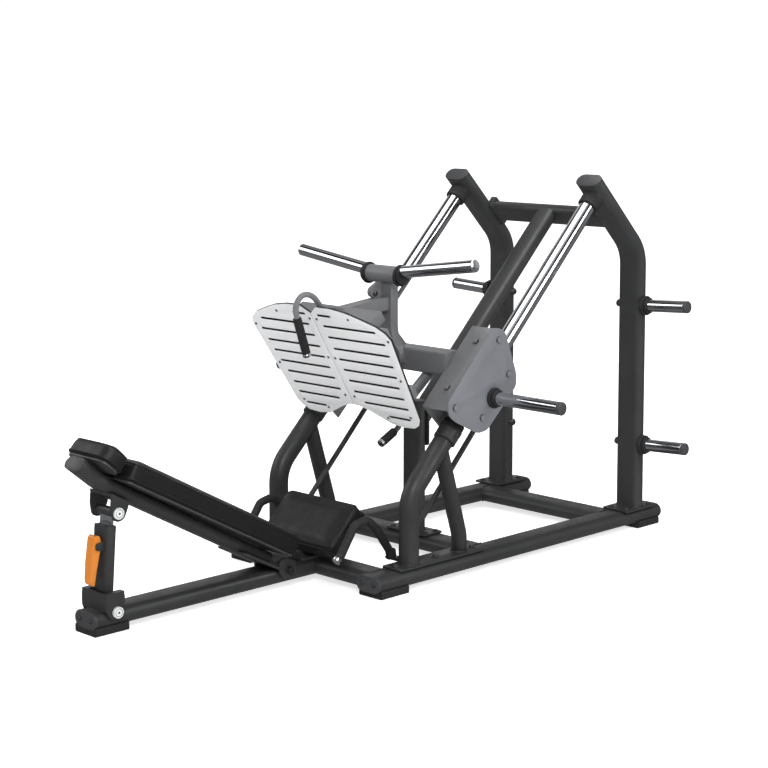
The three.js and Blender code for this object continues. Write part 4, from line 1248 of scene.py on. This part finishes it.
class LEGPRESS_OT_release_handle(bpy.types.Operator):
    """Dresses the release handle and builds its ribbed grips and plated ends."""

    bl_idname = "legpress.release_handle"
    bl_label = "Release Handle"

    def execute(self, context):
        body = BODY_OF["release_handle"]
        run = curved([at(*spot) for spot in HANDLE_POINTS], 8)
        tube = pipe_along("release_handle_tube", run, 11.0, "carriage", body, False, 24)
        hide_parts("release_handle")
        for tag, tip, root in (
            ("top", at(0, 1014, 836), at(0, 964, 984)), ("low", at(150, 1247, 496), at(150, 1322, 534)),
        ):
            run = (root - tip).normalized()
            reach = (root - tip).length / MM
            turned(
                f"release_end_{tag}", tip, run,
                ((-1.2, 12.4), (0.4, 15.6), (11.0, 16.0), (12.5, 15.0)), "chrome", body, 32)
            collar(f"release_grip_{tag}", tip, run, 13, reach + 0.5, 10.5, 15.9, "grip", body, 1.4, 32)
            ribs(f"release_ribs_{tag}", tip + run * 17 * MM, root - run * 4 * MM, 15.9, "grip", body, 3.4, 0.9)
        return {"FINISHED"}


class LEGPRESS_OT_seat(bpy.types.Operator):
    """Builds the seat pad and dresses its bracket and hand holds."""

    bl_idname = "legpress.seat"
    bl_label = "Seat"

    def execute(self, context):
        dress_all(["seat_frame"], sizes().edge)
        for side, tag in SIDES:
            dressed(f"side_handle_{tag}", sizes().edge)
            foot = at(side * 260, 913, 126)
            way = Vector((0, 25, 21)).normalized()
            turned(
                f"side_handle_cap_{tag}", foot, way,
                ((-2.0, 12.0), (-0.6, 16.0), (1.0, 17.0), (13.0, 17.0), (14.0, 16.2)), "chrome", "root", 32)
            bolts(f"side_handle_bolt_{tag}", [(at(side * 288, 1196, 95.6), (0, 0, 1), 9.5)], "zinc", "root")
        upholstered("seat_pad")
        return {"FINISHED"}


class LEGPRESS_OT_back_rest(bpy.types.Operator):
    """Builds the back and head pads and dresses the tilting tube."""

    bl_idname = "legpress.back_rest"
    bl_label = "Back Rest"

    def execute(self, context):
        body = BODY_OF["back_frame"]
        dress_all(["back_frame"], sizes().edge)
        for side, tag in SIDES:
            pin_end(f"upper_pin_{tag}", at(side * 61.6, *CLEVIS_PIN), (side, 0, 0), 9.0, 19.8, body)
        upholstered("back_pad")
        upholstered("head_pad")
        return {"FINISHED"}


class LEGPRESS_OT_back_support(bpy.types.Operator):
    """Dresses the telescoping support and its lock lever."""

    bl_idname = "legpress.back_support"
    bl_label = "Back Support"

    def execute(self, context):
        dress_all(["support_post", "support_bar"], sizes().edge)
        dress_all(["lock_lever"], sizes().edge * 2)
        collar(
            "support_eye", at(-38.5, *CLEVIS_PIN), (1, 0, 0), 0, 77, 12.4, 16.4, "frame",
            BODY_OF["support_bar"], 1.6, 40)
        rows = [(at(side * 19.2, *LEVER_PIVOT), (side, 0, 0), 6.4) for side, _ in SIDES]
        bolts("lever_bolts", rows, "zinc", BODY_OF["lock_lever"])
        return {"FINISHED"}


STEPS = (
    LEGPRESS_OT_stage,
    LEGPRESS_OT_floor_frame,
    LEGPRESS_OT_tower,
    LEGPRESS_OT_guides,
    LEGPRESS_OT_horns,
    LEGPRESS_OT_carriage,
    LEGPRESS_OT_release_handle,
    LEGPRESS_OT_seat,
    LEGPRESS_OT_back_rest,
    LEGPRESS_OT_back_support,
)


class LEGPRESS_PT_workshop(bpy.types.Panel):
    """Lists the steps and settings in the sidebar."""

    bl_label = "Leg Press"
    bl_idname = "LEGPRESS_PT_workshop"
    bl_space_type = "VIEW_3D"
    bl_region_type = "UI"
    bl_category = "Leg Press"

    def draw(self, context):
        for group in (context.scene.leg_press_finishes, context.scene.leg_press_sizes):
            box = self.layout.box()
            for key in group.__annotations__:
                box.prop(group, key)
        for step in STEPS:
            self.layout.operator(step.bl_idname)


CLASSES = (LegPressFinishes, LegPressSizes, *STEPS, LEGPRESS_PT_workshop)


def register():
    for made in CLASSES:
        bpy.utils.register_class(made)
    bpy.types.Scene.leg_press_finishes = bpy.props.PointerProperty(type=LegPressFinishes)
    bpy.types.Scene.leg_press_sizes = bpy.props.PointerProperty(type=LegPressSizes)


def unregister():
    del bpy.types.Scene.leg_press_sizes
    del bpy.types.Scene.leg_press_finishes
    for made in reversed(CLASSES):
        bpy.utils.unregister_class(made)


def main():
    register()
    for step in STEPS:
        group, name = step.bl_idname.split(".")
        getattr(getattr(bpy.ops, group), name)()


if __name__ == "__main__":
    main()
